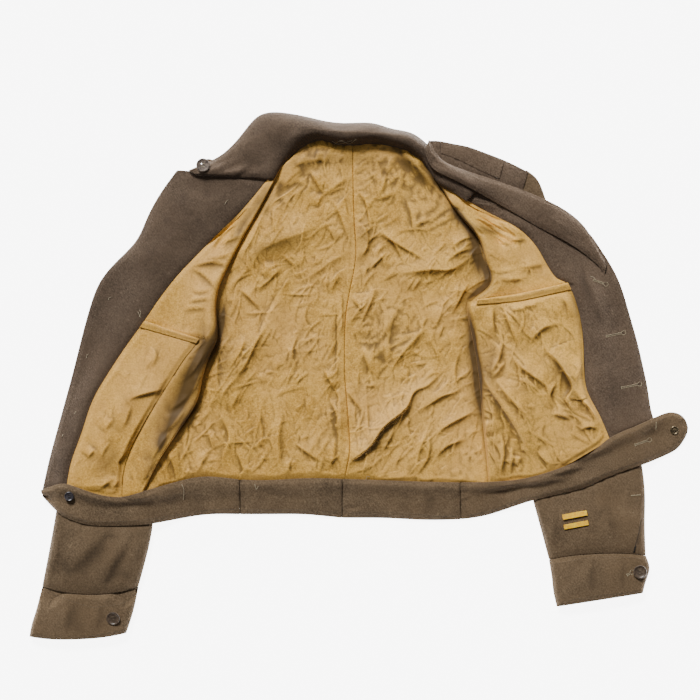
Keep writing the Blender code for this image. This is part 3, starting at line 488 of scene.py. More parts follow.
def crease_height(x, y, creases):
    """Height that the listed creases add at each place, mm. The side to the
    left of a line falls off in the sharp width and the other in the soft one."""
    total = np.zeros_like(x)
    for height, sharp, soft, line in creases:
        path = smooth_line(line)
        soft = soft * SOFT_SPREAD
        reach = CREASE_REACH * soft
        low, high = path.min(axis=0) - reach, path.max(axis=0) + reach
        near = (x > low[0]) & (x < high[0]) & (y > low[1]) & (y < high[1])
        if not near.any():
            continue
        places = np.stack([x[near], y[near]], axis=1)
        runs = np.diff(path, axis=0)
        lengths = np.linalg.norm(runs, axis=1)
        before = np.concatenate([[0], np.cumsum(lengths)[:-1]])
        best = np.full(len(places), np.inf)
        side = np.zeros(len(places))
        along = np.zeros(len(places))
        for start, run, length, gone in zip(path[:-1], runs, lengths, before):
            away = places - start
            t = np.clip(away @ run / length ** 2, 0, 1)
            gap = np.linalg.norm(away - t[:, None] * run, axis=1)
            closer = gap < best
            best[closer] = gap[closer]
            side[closer] = (run[0] * away[:, 1] - run[1] * away[:, 0])[closer]
            along[closer] = (gone + t * length)[closer]
        share = along / lengths.sum()
        taper = (ease(share * END_TAPER) * ease((1 - share) * END_TAPER)
                 * ease(1.2 - best / reach))
        width = np.where(side > 0, sharp, soft)
        total[near] += height * taper * np.exp(-(best / width) ** CREASE_POWER)
    return total


LEAN_SPREAD = 28        # of the small creases' directions, degrees
LEAST_CREASE, CREASE_SPAN = 12, 52  # their lengths, mm
TOWARDS_COLLAR = 0.25   # of them have the sharp side towards the collar


def small_creases(low, high, count, seed, lean):
    """Rows for short creases scattered over a box, mostly at about the given lean."""
    chance = np.random.RandomState(seed)
    rows = []
    for _ in range(count):
        start = chance.uniform(low, high)
        turn = radians(lean + chance.normal(0, LEAN_SPREAD))
        length = LEAST_CREASE + CREASE_SPAN * chance.rand() ** 1.6
        bend = chance.normal(0, 0.10) * length
        run = np.array([cos(turn), sin(turn)])
        run *= (1 if chance.rand() < TOWARDS_COLLAR else -1) * np.sign(run[0])
        middle = start + run * length / 2 + np.array([-run[1], run[0]]) * bend
        rows.append((0.45 + 0.95 * chance.rand() ** 2, 0.7 + 0.7 * chance.rand(),
                     1.4 + 2.2 * chance.rand(), (start, middle, start + run * length)))
    return rows


# (wavelength across, wavelength along, share of the height, seed), mm. The sharp
# valleys between soft facets are what crumpled cotton shows.
COTTON_CRUMPLES = ((58, 84, 0.45, 3), (27, 40, 0.44, 11), (12, 17, 0.15, 23), (6, 8, 0.035, 31))
COTTON_SWELLS = ((96, 128, 1.2, 41), (46, 58, 0.6, 43))
WOOL_SWELLS = ((90, 120, 1.0, 5), (38, 46, 0.35, 17), (15, 15, 0.10, 29))
WANDER = 0.35           # how far a wave strays, as a share of its length


def crumple(x, y, finish):
    """Unevenness of a cloth, about 0 to 1."""
    total = np.zeros_like(x)
    sharp, soft = (COTTON_CRUMPLES, COTTON_SWELLS) if finish == "lining" else ((), WOOL_SWELLS)
    for k, (across, along, share, seed) in enumerate(sharp + soft):
        bent_x = x + WANDER * along * lattice_noise(x / along, y / along, seed + 50)
        bent_y = y + WANDER * along * lattice_noise(x / along, y / along, seed + 70)
        wave = lattice_noise(2 * bent_x / across, 2 * bent_y / along, seed)
        total += share * (np.abs(wave) if k < len(sharp) else wave * 0.5 + 0.5)
    return total


# ------------------------------------------------------------ objects and meshes
def linked(name, data):
    """An object of some data, put in the scene."""
    made = bpy.data.objects.new(name, data)
    bpy.context.scene.collection.objects.link(made)
    return made


def finished_mesh(worked):
    """A plain mesh of what an object's modifiers or its curve make."""
    return bpy.data.meshes.new_from_object(
        worked.evaluated_get(bpy.context.evaluated_depsgraph_get()))


def jacket_piece(name, mesh):
    """A mesh as a piece of the jacket, put under the jacket's root."""
    made = linked(name, mesh)
    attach(made, "root")
    return made


def new_object(name, points, faces, finish):
    """A piece of the jacket from points in millimetres."""
    mesh = bpy.data.meshes.new(name)
    mesh.from_pydata((np.asarray(points, float) * MM).tolist(), [], faces)
    mesh.materials.append(MATERIALS[finish])
    mesh.shade_smooth()
    return jacket_piece(name, mesh)


def point_values(mesh, name, values):
    """A named value at every point, for the materials."""
    layer = mesh.attributes.new(name, "FLOAT", "POINT")
    layer.data.foreach_set("value", np.asarray(values, np.float32))


def surface_map(mesh, across, along):
    """A UV map in metres, from two measures of every point in mm."""
    layer = mesh.uv_layers.new(name="cloth")
    corners = np.empty(len(mesh.loops), np.int32)
    mesh.loops.foreach_get("vertex_index", corners)
    places = np.stack([across[corners], along[corners]], axis=1) * MM
    layer.data.foreach_set("uv", places.ravel().astype(np.float32))


# ------------------------------------------------------------ a solid cut finer
RIM_TURN = radians(58)      # a solid's edges that turn more than this are its rim
RIM_CREASE = {"lining": 1.0, "wool": 0.96, "facing": 0.93}


def subdivided(node, levels, rim_crease):
    """The node's solid as a fine mesh: points in mm, normals, faces, edges, and how
    much each point is on the rim, from 0 to 1."""
    work = bmesh.new()
    work.from_mesh(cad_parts[node].data)
    bmesh.ops.remove_doubles(work, verts=work.verts, dist=1e-6)
    for edge in work.edges:
        if edge.calc_face_angle(0) > RIM_TURN:
            edge.smooth = False
    bmesh.ops.join_triangles(work, faces=work.faces[:], cmp_sharp=True,
                             angle_face_threshold=pi, angle_shape_threshold=pi)
    crease = work.edges.layers.float.new("crease_edge")
    rim = work.verts.layers.float.new("rim")
    for edge in work.edges:
        if edge.calc_face_angle(0) > RIM_TURN:
            edge[crease] = rim_crease
            for corner in edge.verts:
                corner[rim] = 1.0
    mesh = bpy.data.meshes.new("rough")
    work.to_mesh(mesh)
    work.free()
    rough = linked("rough", mesh)
    finer = rough.modifiers.new("finer", "SUBSURF")
    finer.levels = finer.render_levels = levels
    fine = finished_mesh(rough)
    bpy.data.objects.remove(rough, do_unlink=True)
    bpy.data.meshes.remove(mesh)
    count = len(fine.vertices)
    points, normals, near_rim = np.empty(count * 3), np.empty(count * 3), np.empty(count)
    edges = np.empty(len(fine.edges) * 2, np.int64)
    fine.vertices.foreach_get("co", points)
    fine.vertex_normals.foreach_get("vector", normals)
    fine.attributes["rim"].data.foreach_get("value", near_rim)
    fine.edges.foreach_get("vertices", edges)
    faces = [tuple(p.vertices) for p in fine.polygons]
    bpy.data.meshes.remove(fine)
    return (points.reshape(-1, 3) / MM, normals.reshape(-1, 3), faces, edges.reshape(-1, 2),
            near_rim)


def averaged(values, edges, rounds):
    """Values at points, evened out with their neighbours'."""
    count = len(values)
    around = np.bincount(edges.ravel(), minlength=count) + 1
    for _ in range(rounds):
        total = (np.bincount(edges[:, 0], values[edges[:, 1]], count)
                 + np.bincount(edges[:, 1], values[edges[:, 0]], count))
        values = (values + total) / around
    return values


def eased_down(limit, edges, rises, rounds=20):
    """Lets a limit rise by no more than each edge's share from point to point."""
    made = limit.copy()
    for _ in range(rounds):
        np.minimum.at(made, edges[:, 0], made[edges[:, 1]] + rises)
        np.minimum.at(made, edges[:, 1], made[edges[:, 0]] + rises)
    return made


# ------------------------------------------------------------ what lies on what
NOTHING_OVER = 60.0     # stands for a cover where there is none, mm
BELOW, ABOVE = -0.05, 1.0   # heights from which the jacket is probed, metres
finished = []           # (lowest corner, highest corner, tree) of each finished piece


def remember(piece):
    """Keeps a finished piece, so that others can lie under or on it."""
    mesh = piece.data
    corners = np.empty(len(mesh.vertices) * 3)
    mesh.vertices.foreach_get("co", corners)
    corners = corners.reshape(-1, 3)
    tree = BVHTree.FromPolygons([tuple(c) for c in corners],
                                [tuple(p.vertices) for p in mesh.polygons])
    finished.append((corners.min(axis=0), corners.max(axis=0), tree))


def nearest_cover(points):
    """Underside of the lowest finished piece over each point, mm."""
    found = np.full(len(points), NOTHING_OVER)
    up = Vector((0, 0, 1))
    places = points[:, :2] * MM
    for low, high, tree in finished:
        inside = np.all((places > low[:2]) & (places < high[:2]), axis=1)
        for k in np.nonzero(inside)[0]:
            hit = tree.ray_cast(Vector((*places[k], BELOW)), up)[0]
            if hit is not None:
                found[k] = min(found[k], hit.z / MM)
    return found


def top_at(x, y):
    """Height of the finished jacket at one place, mm."""
    best = 0.0
    down = Vector((0, 0, -1))
    for low, high, tree in finished:
        if low[0] <= x * MM <= high[0] and low[1] <= y * MM <= high[1]:
            hit = tree.ray_cast(Vector((x * MM, y * MM, ABOVE)), down)[0]
            if hit is not None:
                best = max(best, hit.z / MM)
    return best


# ------------------------------------------------------------ laying a cloth
ROOM = 0.3              # kept between two cloths, mm
ROOM_SLOPE = 0.35       # how fast a cloth may rise beside a piece that covers it
TROUGH_ROOM = 1.6       # creased cloth stands this much above its solid, mm
LEAST_TOP, LEAST_HEIGHT = 0.3, 0.05     # of a cloth's upper side and of any point, mm
STEEP = 1.5             # creases are whole where a normal's Z is over 1 / 1.5
CLEAR = 0.5             # a fold of the same cloth less than this above isn't over it, mm
CREASE_SPACING = 16.5   # between the small creases of a lining, mm
CALM_GAIN = 0.45        # height of those creases where the cloth is hardly crumpled
ON_RIM = 0.9            # a point with more of the rim than this is on it
RIM_FADE = 7.0          # creases die out over this beside a rim that shows, mm
RIM_SHARE = 0.25        # of their height is left on it
CONTACT_SHADOW_WIDTH = 9.0           # width of the painted shadow line beside a piece that lies on a cloth
BACK_CONTACT_SHADOW, OTHER_CONTACT_SHADOW = 0.6, 0.2  # and how dark that painted shadow is
FINE_PAINTED_SHADE, BROAD_PAINTED_SHADE = 3.6, 0.18   # how soon sharp and wide troughs get painted shade
BROAD_ROUNDS = 8        # a wide trough is evened out this many times more
MOST_PAINTED_SHADE, MOST_PAINTED_GLINT = 0.85, -0.8    # how dark the painted shade of a trough and how pale the painted highlight of a ridge gets
PAINTED_SHADE_PIECES = {"collar": 0.5, "facing_right": 0.5, "facing_left": 0.15, "lapel_left": 0.1,
        "shoulder_left": 0.3, "sleeve_right": 0.2}  # pieces darkened all over by painted shade
UNDER_TURN, UNDER_RIM = -0.3, 0.5   # lower normals and less rim are the under side
UNDER_SHARE = 0.03      # of its faces that are kept, as nobody sees them
CLOTH_SHARP = radians(75)


def plain_under_side(made, hidden):
    """Fewer faces on the side of a cloth that lies on something."""
    polygons = len(made.data.polygons)
    inside = np.zeros(len(made.data.vertices), bool)
    inside[hidden] = True
    corners = np.empty(len(made.data.loops), np.int32)
    made.data.loops.foreach_get("vertex_index", corners)
    under = inside[corners.reshape(-1, 4)].all(axis=1).sum()
    group = made.vertex_groups.new(name="under")
    group.add(hidden.tolist(), 1.0, "REPLACE")
    thin = made.modifiers.new("thin", "DECIMATE")
    thin.vertex_group = "under"
    thin.ratio = 1 - (1 - UNDER_SHARE) * under / polygons
    mesh = finished_mesh(made)
    old, made.data = made.data, mesh
    bpy.data.meshes.remove(old)
    made.modifiers.clear()
    made.vertex_groups.clear()
    mesh.name = made.name


def facing_up(points, normals, faces, edges):
    """How much each point faces up, from 0 to 1, and whether none of its own cloth is
    over it."""
    upward = ease(normals[:, 2] * STEEP)
    own = BVHTree.FromPolygons(points.tolist(), faces)
    up = Vector((0, 0, 1))
    for k in np.nonzero(upward > 0)[0]:
        if own.ray_cast(Vector(points[k]) + up * CLEAR, up)[0] is not None:
            upward[k] = 0
    seen = upward > 0
    return averaged(upward, edges, 2) * seen, seen


def free_relief(piece, x, y):
    """How high the cloth stands over its solid where nothing holds it down, mm."""
    relief = (piece.crumple * crumple(x, y, piece.finish)
              + CREASE_GAIN[piece.finish] * crease_height(x, y, piece.creases))
    if piece.finish == "lining":
        low, high = np.array([x.min(), y.min()]), np.array([x.max(), y.max()])
        many = int(piece.crumple * np.prod(high - low) / CREASE_SPACING ** 2)
        gain = min(1.0, CALM_GAIN * (1 + piece.crumple))
        relief += gain * crease_height(x, y, small_creases(low, high, many, many, piece.lean))
    return np.logaddexp(0, 2 * (relief + TROUGH_ROOM * bool(piece.creases))) / 2


def painted_crease_shading(piece, relief, edges):
    """Painted shade in the troughs, and painted highlight on the ridges (below 0)."""
    fine = averaged(relief, edges, piece.levels)
    broad = averaged(fine, edges, piece.levels * BROAD_ROUNDS)
    painted_shading = (fine - relief) * FINE_PAINTED_SHADE + (broad - relief) * BROAD_PAINTED_SHADE
    return np.maximum(MOST_PAINTED_SHADE * np.tanh(painted_shading / MOST_PAINTED_SHADE), MOST_PAINTED_GLINT)


def lay_cloth(piece):
    """A cloth on its solid's form, with creases on the side that shows."""
    is_back = piece.creases is BACK_CREASES
    points, normals, faces, edges, near_rim = subdivided(
        piece.node, piece.levels, RIM_CREASE[piece.finish])
    x, y = points[:, 0], points[:, 1]
    lengths = np.linalg.norm(points[edges[:, 0]] - points[edges[:, 1]], axis=1)
    upward, seen = facing_up(points, normals, faces, edges)
    cover = nearest_cover(points)
    covered = (cover < NOTHING_OVER - 1) & seen
    from_cover = eased_down(np.where(covered, 0.0, NOTHING_OVER), edges, lengths)
    bare_rim = (near_rim > ON_RIM) & (from_cover > 0)
    from_rim = eased_down(np.where(bare_rim, 0.0, NOTHING_OVER), edges, lengths)

    relief = np.zeros(len(points))
    if piece.crumple:
        fade = (1.0 if is_back
                else RIM_SHARE + (1 - RIM_SHARE) * ease(from_rim / RIM_FADE))
        relief = free_relief(piece, x, y) * fade * upward
    limit = cover - ROOM - points[:, 2]
    room = np.maximum(eased_down(limit, edges, ROOM_SLOPE * lengths), LEAST_TOP - points[:, 2])
    relief = np.where(seen, np.minimum(relief, room), np.minimum(limit, 0))

    # Painted shade in troughs and painted highlight on ridges, from the relief.
    painted_shading = painted_crease_shading(piece, relief, edges) * (upward * ease(from_rim / RIM_FADE))
    # Painted contact shadow beside the pieces that lie on this cloth.
    beside = np.clip(1 - from_cover / CONTACT_SHADOW_WIDTH, 0, 1) ** 1.5 * seen
    painted_shading = np.maximum(painted_shading, beside * (BACK_CONTACT_SHADOW if is_back else OTHER_CONTACT_SHADOW))
    # Painted shade in the deep places between folds.
    if piece.finish == "lining":
        deep = np.clip(crease_height(x, y, PAINTED_SHADE_PLACES), 0, 1) * seen
        painted_shading = painted_shading * (1 - deep) + deep
    # Painted shade over the whole of some pieces.
    painted_shading = painted_shading + PAINTED_SHADE_PIECES.get(piece.node, 0)

    points = points + relief[:, None] * (0, 0, 1)
    points[:, 2] = np.maximum(points[:, 2], LEAST_HEIGHT)
    made = new_object(piece.node + "_cloth", points, faces, piece.finish)
    surface_map(made.data, x, y)
    # Painted shading: shade in troughs, beside covering pieces and in deep places, highlight on
    # ridges.
    point_values(made.data, "painted_shading", painted_shading)
    hidden = np.nonzero((normals[:, 2] < UNDER_TURN) & (near_rim < UNDER_RIM))[0]
    if len(hidden):
        plain_under_side(made, hidden)
    made.data.set_sharp_from_angle(angle=CLOTH_SHARP)
    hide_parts(piece.node)
    remember(made)
    return made


# ------------------------------------------------------------ finishes
def new_finish(name, roughness):
    """A material with its nodes and its shader."""
    made = bpy.data.materials.new(name)
    made.use_nodes = True
    shader = made.node_tree.nodes["Principled BSDF"]
    shader.inputs["Roughness"].default_value = roughness
    return made, made.node_tree, shader


def add(tree, kind, settings=(), **inputs):
    """A node with its settings, and its inputs set or linked by their names, or by i
    and their number."""
    node = tree.nodes.new(kind)
    for key, value in dict(settings).items():
        setattr(node, key, value)
    for key, value in inputs.items():
        socket = node.inputs[int(key[1:]) if key[0] == "i" and key[1:].isdigit()
                             else key.replace("_", " ")]
        if isinstance(value, bpy.types.NodeSocket):
            tree.links.new(value, socket)
        else:
            socket.default_value = value
    return node


def cloth_places(tree):
    """Where a spot is on its own cloth, and where in the jacket."""
    return (add(tree, "ShaderNodeUVMap", {"uv_map": "cloth"}).outputs["UV"],
            add(tree, "ShaderNodeTexCoord").outputs["Object"])


def painted_shading_value(tree):
    """The painted shading that lay_cloth gave to each point: painted shade above 0, painted
    highlight below.
    """
    return add(tree, "ShaderNodeAttribute", {"attribute_name": "painted_shading"}).outputs["Fac"]


def stretched(tree, places, scale, turn=0.0):
    """Places of a pattern, turned and scaled."""
    node = add(tree, "ShaderNodeMapping", Vector=places)
    node.inputs["Scale"].default_value = scale
    node.inputs["Rotation"].default_value = (0, 0, turn)
    return node.outputs["Vector"]


def cloudy(tree, places, scale, detail=2.0, roughness=0.5):
    """Soft noise, about 0.3 to 0.7. The scale is spots for each metre."""
    return add(tree, "ShaderNodeTexNoise", Vector=places, Scale=scale, Detail=detail,
               Roughness=roughness).outputs["Fac"]


def between_levels(tree, value, low, high, to_low=0.0, to_high=1.0):
    """A value spread from one range to another, and kept in it."""
    node = add(tree, "ShaderNodeMapRange", Value=value)
    for key, level in (("From Min", low), ("From Max", high), ("To Min", to_low),
                       ("To Max", to_high)):
        node.inputs[key].default_value = level
    return node.outputs["Result"]


def tinted(tree, share, first, second):
    """Two colours mixed by a share."""
    node = tree.nodes.new("ShaderNodeMix")
    node.data_type = "RGBA"
    for socket, value in ((node.inputs["Factor"], share), (node.inputs[6], first),
                          (node.inputs[7], second)):
        if isinstance(value, bpy.types.NodeSocket):
            tree.links.new(value, socket)
        else:
            socket.default_value = value if isinstance(value, float) else (*value, 1)
    return node.outputs[2]


def summed(tree, *terms):
    """Values times their weights, added up."""
    total = None
    for value, weight in terms:
        part = add(tree, "ShaderNodeMath", {"operation": "MULTIPLY"},
                   i0=value, i1=weight).outputs[0]
        total = part if total is None else add(
            tree, "ShaderNodeMath", {"operation": "ADD"}, i0=total, i1=part).outputs[0]
    return total


def bumped(tree, shader, height, depth, strength=1.0):
    """Fine relief from a height, as deep as given in metres."""
    node = add(tree, "ShaderNodeBump", Height=height, Distance=depth, Strength=strength)
    tree.links.new(node.outputs["Normal"], shader.inputs["Normal"])


def colour(red, green, blue):
    """Linear colour of a display colour from 0 to 255."""
    return tuple((c / 255 / 12.92) if c / 255 <= 0.04045 else ((c / 255 + 0.055) / 1.055) ** 2.4
                 for c in (red, green, blue))


def wool_finish(name, dark, usual, light, warm):
    """Napped wool serge: a fine steep twill under a fuzzy, uneven nap."""
    made, tree, shader = new_finish(name, 0.92)
    own, places = cloth_places(tree)
    twill = add(tree, "ShaderNodeTexWave", {"wave_type": "BANDS", "bands_direction": "X"},
                Vector=stretched(tree, own, (1, 1, 1), radians(63)), Scale=190.0,
                Distortion=1.6, Detail=2.0).outputs["Fac"]
    nap = cloudy(tree, places, 420.0, 3.0, 0.65)
    fuzz = cloudy(tree, stretched(tree, places, (1.0, 0.6, 1.0), radians(24)), 900.0, 2.0, 0.7)
    worn = cloudy(tree, places, 26.0, 4.0, 0.6)
    faded = cloudy(tree, places, 7.0, 3.0, 0.55)
    tone = summed(tree, (nap, 0.75), (fuzz, 0.35), (twill, 0.16), (worn, 0.30), (faded, 0.22))
    base = tinted(tree, between_levels(tree, tone, 0.70, 1.08), dark, light)
    base = tinted(tree, 0.35, base, usual)
    base = tinted(tree, between_levels(tree, faded, 0.40, 0.66, 0.0, 0.5), base, warm)
    lint = cloudy(tree, places, 150.0, 1.0, 0.4)
    base = tinted(tree, between_levels(tree, lint, 0.72, 0.80, 0.0, 0.5), base, light)
    # Painted shade: darker where lay_cloth gave painted shading.
    painted_shading = painted_shading_value(tree)
    base = tinted(tree, between_levels(tree, painted_shading, 0.0, 1.0, 0.0, 0.75), base, dark)
    tree.links.new(base, shader.inputs["Base Color"])
    shader.inputs["Sheen Weight"].default_value = 0.08
    shader.inputs["Sheen Roughness"].default_value = 0.6
    shader.inputs["Specular IOR Level"].default_value = 0.18
    bumped(tree, shader, summed(tree, (nap, 0.6), (twill, 0.35), (fuzz, 0.5)), 0.0011, 0.8)
    return made


def lining_finish():
    """Khaki cotton sateen: smooth, mottled with age, crumpled finely all over."""
    made, tree, shader = new_finish("lining_cotton", 0.62)
    own, places = cloth_places(tree)
    slub = cloudy(tree, stretched(tree, own, (70, 1300, 1)), 1.0, 2.0)
    weave = cloudy(tree, stretched(tree, own, (1200, 90, 1)), 1.0, 2.0)
    stain = cloudy(tree, places, 9.0, 4.0, 0.6)
    mottle = cloudy(tree, places, 34.0, 4.0, 0.62)
    speck = cloudy(tree, places, 400.0, 3.0, 0.75)
    fine = add(tree, "ShaderNodeTexNoise", {"noise_type": "RIDGED_MULTIFRACTAL"},
               Vector=stretched(tree, places, (1.0, 0.62, 1.0), radians(12)), Scale=52.0,
               Detail=3.0, Roughness=0.5, Distortion=0.6).outputs["Fac"]
    # Painted light: the lining gets lighter towards +X.
    side = add(tree, "ShaderNodeSeparateXYZ", Vector=places).outputs["X"]
    tone = summed(tree, (stain, 0.5), (mottle, 0.4), (speck, 1.3), (slub, 0.26), (weave, 0.22),
                  (side, 0.25))
    base = tinted(tree, between_levels(tree, tone, 1.06, 1.64), LINING_DARK, LINING_LIGHT)
    base = tinted(tree, between_levels(tree, stain, 0.44, 0.64, 0.0, 0.38), base, LINING_PINK)
    painted_shading = painted_shading_value(tree)
    # Painted shade towards a dark colour, and painted highlight on ridges.
    base = tinted(tree, between_levels(tree, painted_shading, 0.03, 1.0), base, LINING_PAINTED_SHADE)
    base = tinted(tree, between_levels(tree, painted_shading, -0.1, -0.8, 0.0, 0.16), base, LINING_PAINTED_GLINT)
    tree.links.new(base, shader.inputs["Base Color"])
    shader.inputs["Specular IOR Level"].default_value = 0.32
    shader.inputs["Sheen Weight"].default_value = 0.05
    bumped(tree, shader, summed(tree, (fine, 0.55), (weave, 0.10), (slub, 0.12), (mottle, 0.5)),
           0.0016, 0.7)
    return made


def plain_finish(name, first, second, roughness, scale, metallic=0.0, depth=0.0003):
    """A finish of two near colours in uneven patches, such as plastic or thread."""
    made, tree, shader = new_finish(name, roughness)
    places = add(tree, "ShaderNodeTexCoord").outputs["Object"]
    patches = cloudy(tree, places, scale, 4.0, 0.6)
    base = tinted(tree, between_levels(tree, patches, 0.38, 0.62), first, second)
    tree.links.new(base, shader.inputs["Base Color"])
    shader.inputs["Metallic"].default_value = metallic
    bumped(tree, shader, cloudy(tree, places, scale * 4, 3.0), depth, 0.6)
    return made


def gold_finish():
    """Gilt braid: fine metal threads laid across the bar."""
    made, tree, shader = new_finish("gold_braid", 0.42)
    own, places = cloth_places(tree)
    threads = cloudy(tree, stretched(tree, own, (2600, 300, 1)), 1.0, 2.0)
    worn = cloudy(tree, places, 160.0, 3.0)
    tone = summed(tree, (threads, 0.7), (worn, 0.5))
    base = tinted(tree, between_levels(tree, tone, 0.42, 0.78), colour(224, 146, 6),
                  colour(255, 222, 60))
    tree.links.new(base, shader.inputs["Base Color"])
    bumped(tree, shader, threads, 0.0005, 0.8)
    return made


LINING_DARK = colour(178, 130, 48)
LINING_LIGHT = colour(242, 191, 92)
LINING_PINK = colour(208, 156, 88)
# colours of the painted shade and of the painted highlight
LINING_PAINTED_SHADE = colour(84, 61, 22)
LINING_PAINTED_GLINT = colour(244, 208, 124)
MATERIALS = {
    "wool": wool_finish("wool_serge", colour(54, 42, 28), colour(94, 77, 56),
                        colour(140, 118, 91), colour(97, 77, 53)),
    "facing": wool_finish("wool_facing", colour(52, 41, 32), colour(91, 74, 58),
                          colour(136, 116, 96), colour(94, 75, 57)),
    "lining": lining_finish(),
    "gold": gold_finish(),
    "plastic": plain_finish("button_plastic", colour(62, 50, 40), colour(88, 74, 60),
                            0.38, 260.0),
    "dark_plastic": plain_finish("dark_plastic", colour(38, 36, 40), colour(62, 58, 62),
                                 0.30, 260.0),
    "grey_plastic": plain_finish("worn_plastic", colour(70, 60, 52), colour(116, 102, 90),
                                 0.7, 300.0),
    "metal": plain_finish("snap_metal", colour(70, 60, 46), colour(112, 98, 74),
                          0.38, 300.0, 0.75),
    "khaki_thread": plain_finish("khaki_thread", colour(138, 124, 98), colour(176, 162, 132),
                                 0.85, 900.0),
    "wool_thread": plain_finish("wool_thread", colour(84, 72, 56), colour(112, 98, 78),
                                0.9, 900.0),
    "lining_thread": plain_finish("lining_thread", colour(170, 134, 78), colour(206, 170, 110),
                                  0.8, 900.0),
    "pale_thread": plain_finish("pale_thread", colour(150, 138, 112), colour(190, 178, 150),
                                0.85, 900.0),
    # painted shade for slits and gaps, also the dark thread of the waistband button
    "slit": plain_finish("slit", colour(30, 25, 20), colour(44, 37, 30), 1.0, 400.0),
}


# ------------------------------------------------------------ stitches
def stitch_tree():
    """Stitches along a curve: one small bead of thread at every pitch."""
    tree = bpy.data.node_groups.new("stitches", "GeometryNodeTree")
    tree.is_modifier = True
    sockets = {}
    for name, kind in (("Line", "NodeSocketGeometry"), ("Pitch", "NodeSocketFloat"),
                       ("Size", "NodeSocketVector"), ("Thread", "NodeSocketMaterial")):
        sockets[name] = tree.interface.new_socket(
            name, in_out="INPUT", socket_type=kind).identifier
    tree.interface.new_socket("Stitches", in_out="OUTPUT", socket_type="NodeSocketGeometry")
    start = tree.nodes.new("NodeGroupInput")
    end = tree.nodes.new("NodeGroupOutput")
    spots = add(tree, "GeometryNodeCurveToPoints", {"mode": "LENGTH"}, Curve=start.outputs["Line"],
                Length=start.outputs["Pitch"])
    bead = add(tree, "GeometryNodeMeshUVSphere", Segments=6, Rings=4, Radius=0.5)
    turn = add(tree, "FunctionNodeAlignEulerToVector", {"axis": "X"},
               Vector=spots.outputs["Tangent"])
    placed = add(tree, "GeometryNodeInstanceOnPoints", Points=spots.outputs["Points"],
                 Instance=bead.outputs["Mesh"], Rotation=turn.outputs[0],
                 Scale=start.outputs["Size"])
    real = add(tree, "GeometryNodeRealizeInstances", Geometry=placed.outputs["Instances"])
    finish = add(tree, "GeometryNodeSetMaterial", Geometry=real.outputs["Geometry"],
                 Material=start.outputs["Thread"])
    tree.links.new(finish.outputs["Geometry"], end.inputs["Stitches"])
    return tree, sockets


STITCHES, STITCH_SOCKETS = stitch_tree()
STITCH_LIFT, SLIT_LIFT = 0.1, 0.12  # over the cloth, mm
LEAST_CLOTH = 2.0       # a lower place is beside the jacket, mm


def on_cloth(line, lift, step=2.5):
    """A line in plan, smoothed and laid on the finished jacket, as points in mm.
    Places beside the jacket are left out."""
    line = np.asarray(line, float)
    spans = np.linalg.norm(np.diff(line, axis=0), axis=1)
    path = smooth_line(line, max(2, int(spans.mean() / step))) if len(line) > 1 else line
    places = [(x, y, top_at(x, y) + lift) for x, y in path]
    return [place for place in places if place[2] > LEAST_CLOTH]


def straight_runs(name, lines):
    """A curve of straight runs through lines of points in mm."""
    curve = bpy.data.curves.new(name, "CURVE")
    curve.dimensions = "3D"
    for line in lines:
        spline = curve.splines.new("POLY")
        spline.points.add(len(line) - 1)
        for point, place in zip(spline.points, line):
            point.co = (*(c * MM for c in place), 1)
    return curve


def strands(name, lines, finish, radius):
    """Thin round strands of thread through points in mm."""
    curve = straight_runs(name, lines)
    curve.bevel_depth = radius * MM
    curve.bevel_resolution = 1
    curve.use_fill_caps = True
    rough = linked("strands", curve)
    mesh = finished_mesh(rough)
    bpy.data.objects.remove(rough, do_unlink=True)
    mesh.materials.clear()
    mesh.materials.append(MATERIALS[finish])
    mesh.shade_smooth()
    return jacket_piece(name, mesh)


def sew(name, lines, finish, pitch, size):
    """Rows of stitches along lines in plan. size is along, across and high, mm."""
    rows = linked(name + "_rows",
                  straight_runs(name, [on_cloth(line, STITCH_LIFT) for line in lines]))
    nodes = rows.modifiers.new("stitches", "NODES")
    nodes.node_group = STITCHES
    nodes[STITCH_SOCKETS["Pitch"]] = pitch * MM
    nodes[STITCH_SOCKETS["Size"]] = [s * MM for s in size]
    nodes[STITCH_SOCKETS["Thread"]] = MATERIALS[finish]
    mesh = finished_mesh(rows)
    bpy.data.objects.remove(rows, do_unlink=True)
    mesh.shade_smooth()
    return jacket_piece(name, mesh)


def thread_ends(name, lines, finish, radius=0.25, bow=1.2):
    """Loose ends of thread along short lines in plan, a little bowed, mm."""
    bowed = []
    for line in lines:
        path = on_cloth(line, radius + 0.3, 1.5)
        bowed.append([(x, y, z + bow * sin(pi * k / (len(path) - 1)))
                      for k, (x, y, z) in enumerate(path)])
    return strands(name, bowed, finish, radius)


def buttonhole_lines(start, end, half_gap=0.9, eye=3.0):
    """The worked edge of a keyhole buttonhole: two sides, a bar and a round eye."""
    start, end = np.array(start, float), np.array(end, float)
    run = (end - start) / np.linalg.norm(end - start)
    side = np.array([-run[1], run[0]])
    round_eye = [end + eye * (cos(a) * run + sin(a) * side)
                 for a in np.linspace(-0.8 * pi, 0.8 * pi, 9)]
    upper = [start + side * half_gap, end - run * eye + side * half_gap]
    lower = [start - side * half_gap, end - run * eye - side * half_gap]
    bar = [start + side * 2 * half_gap, start - side * 2 * half_gap]
    return [upper, lower, round_eye, bar]


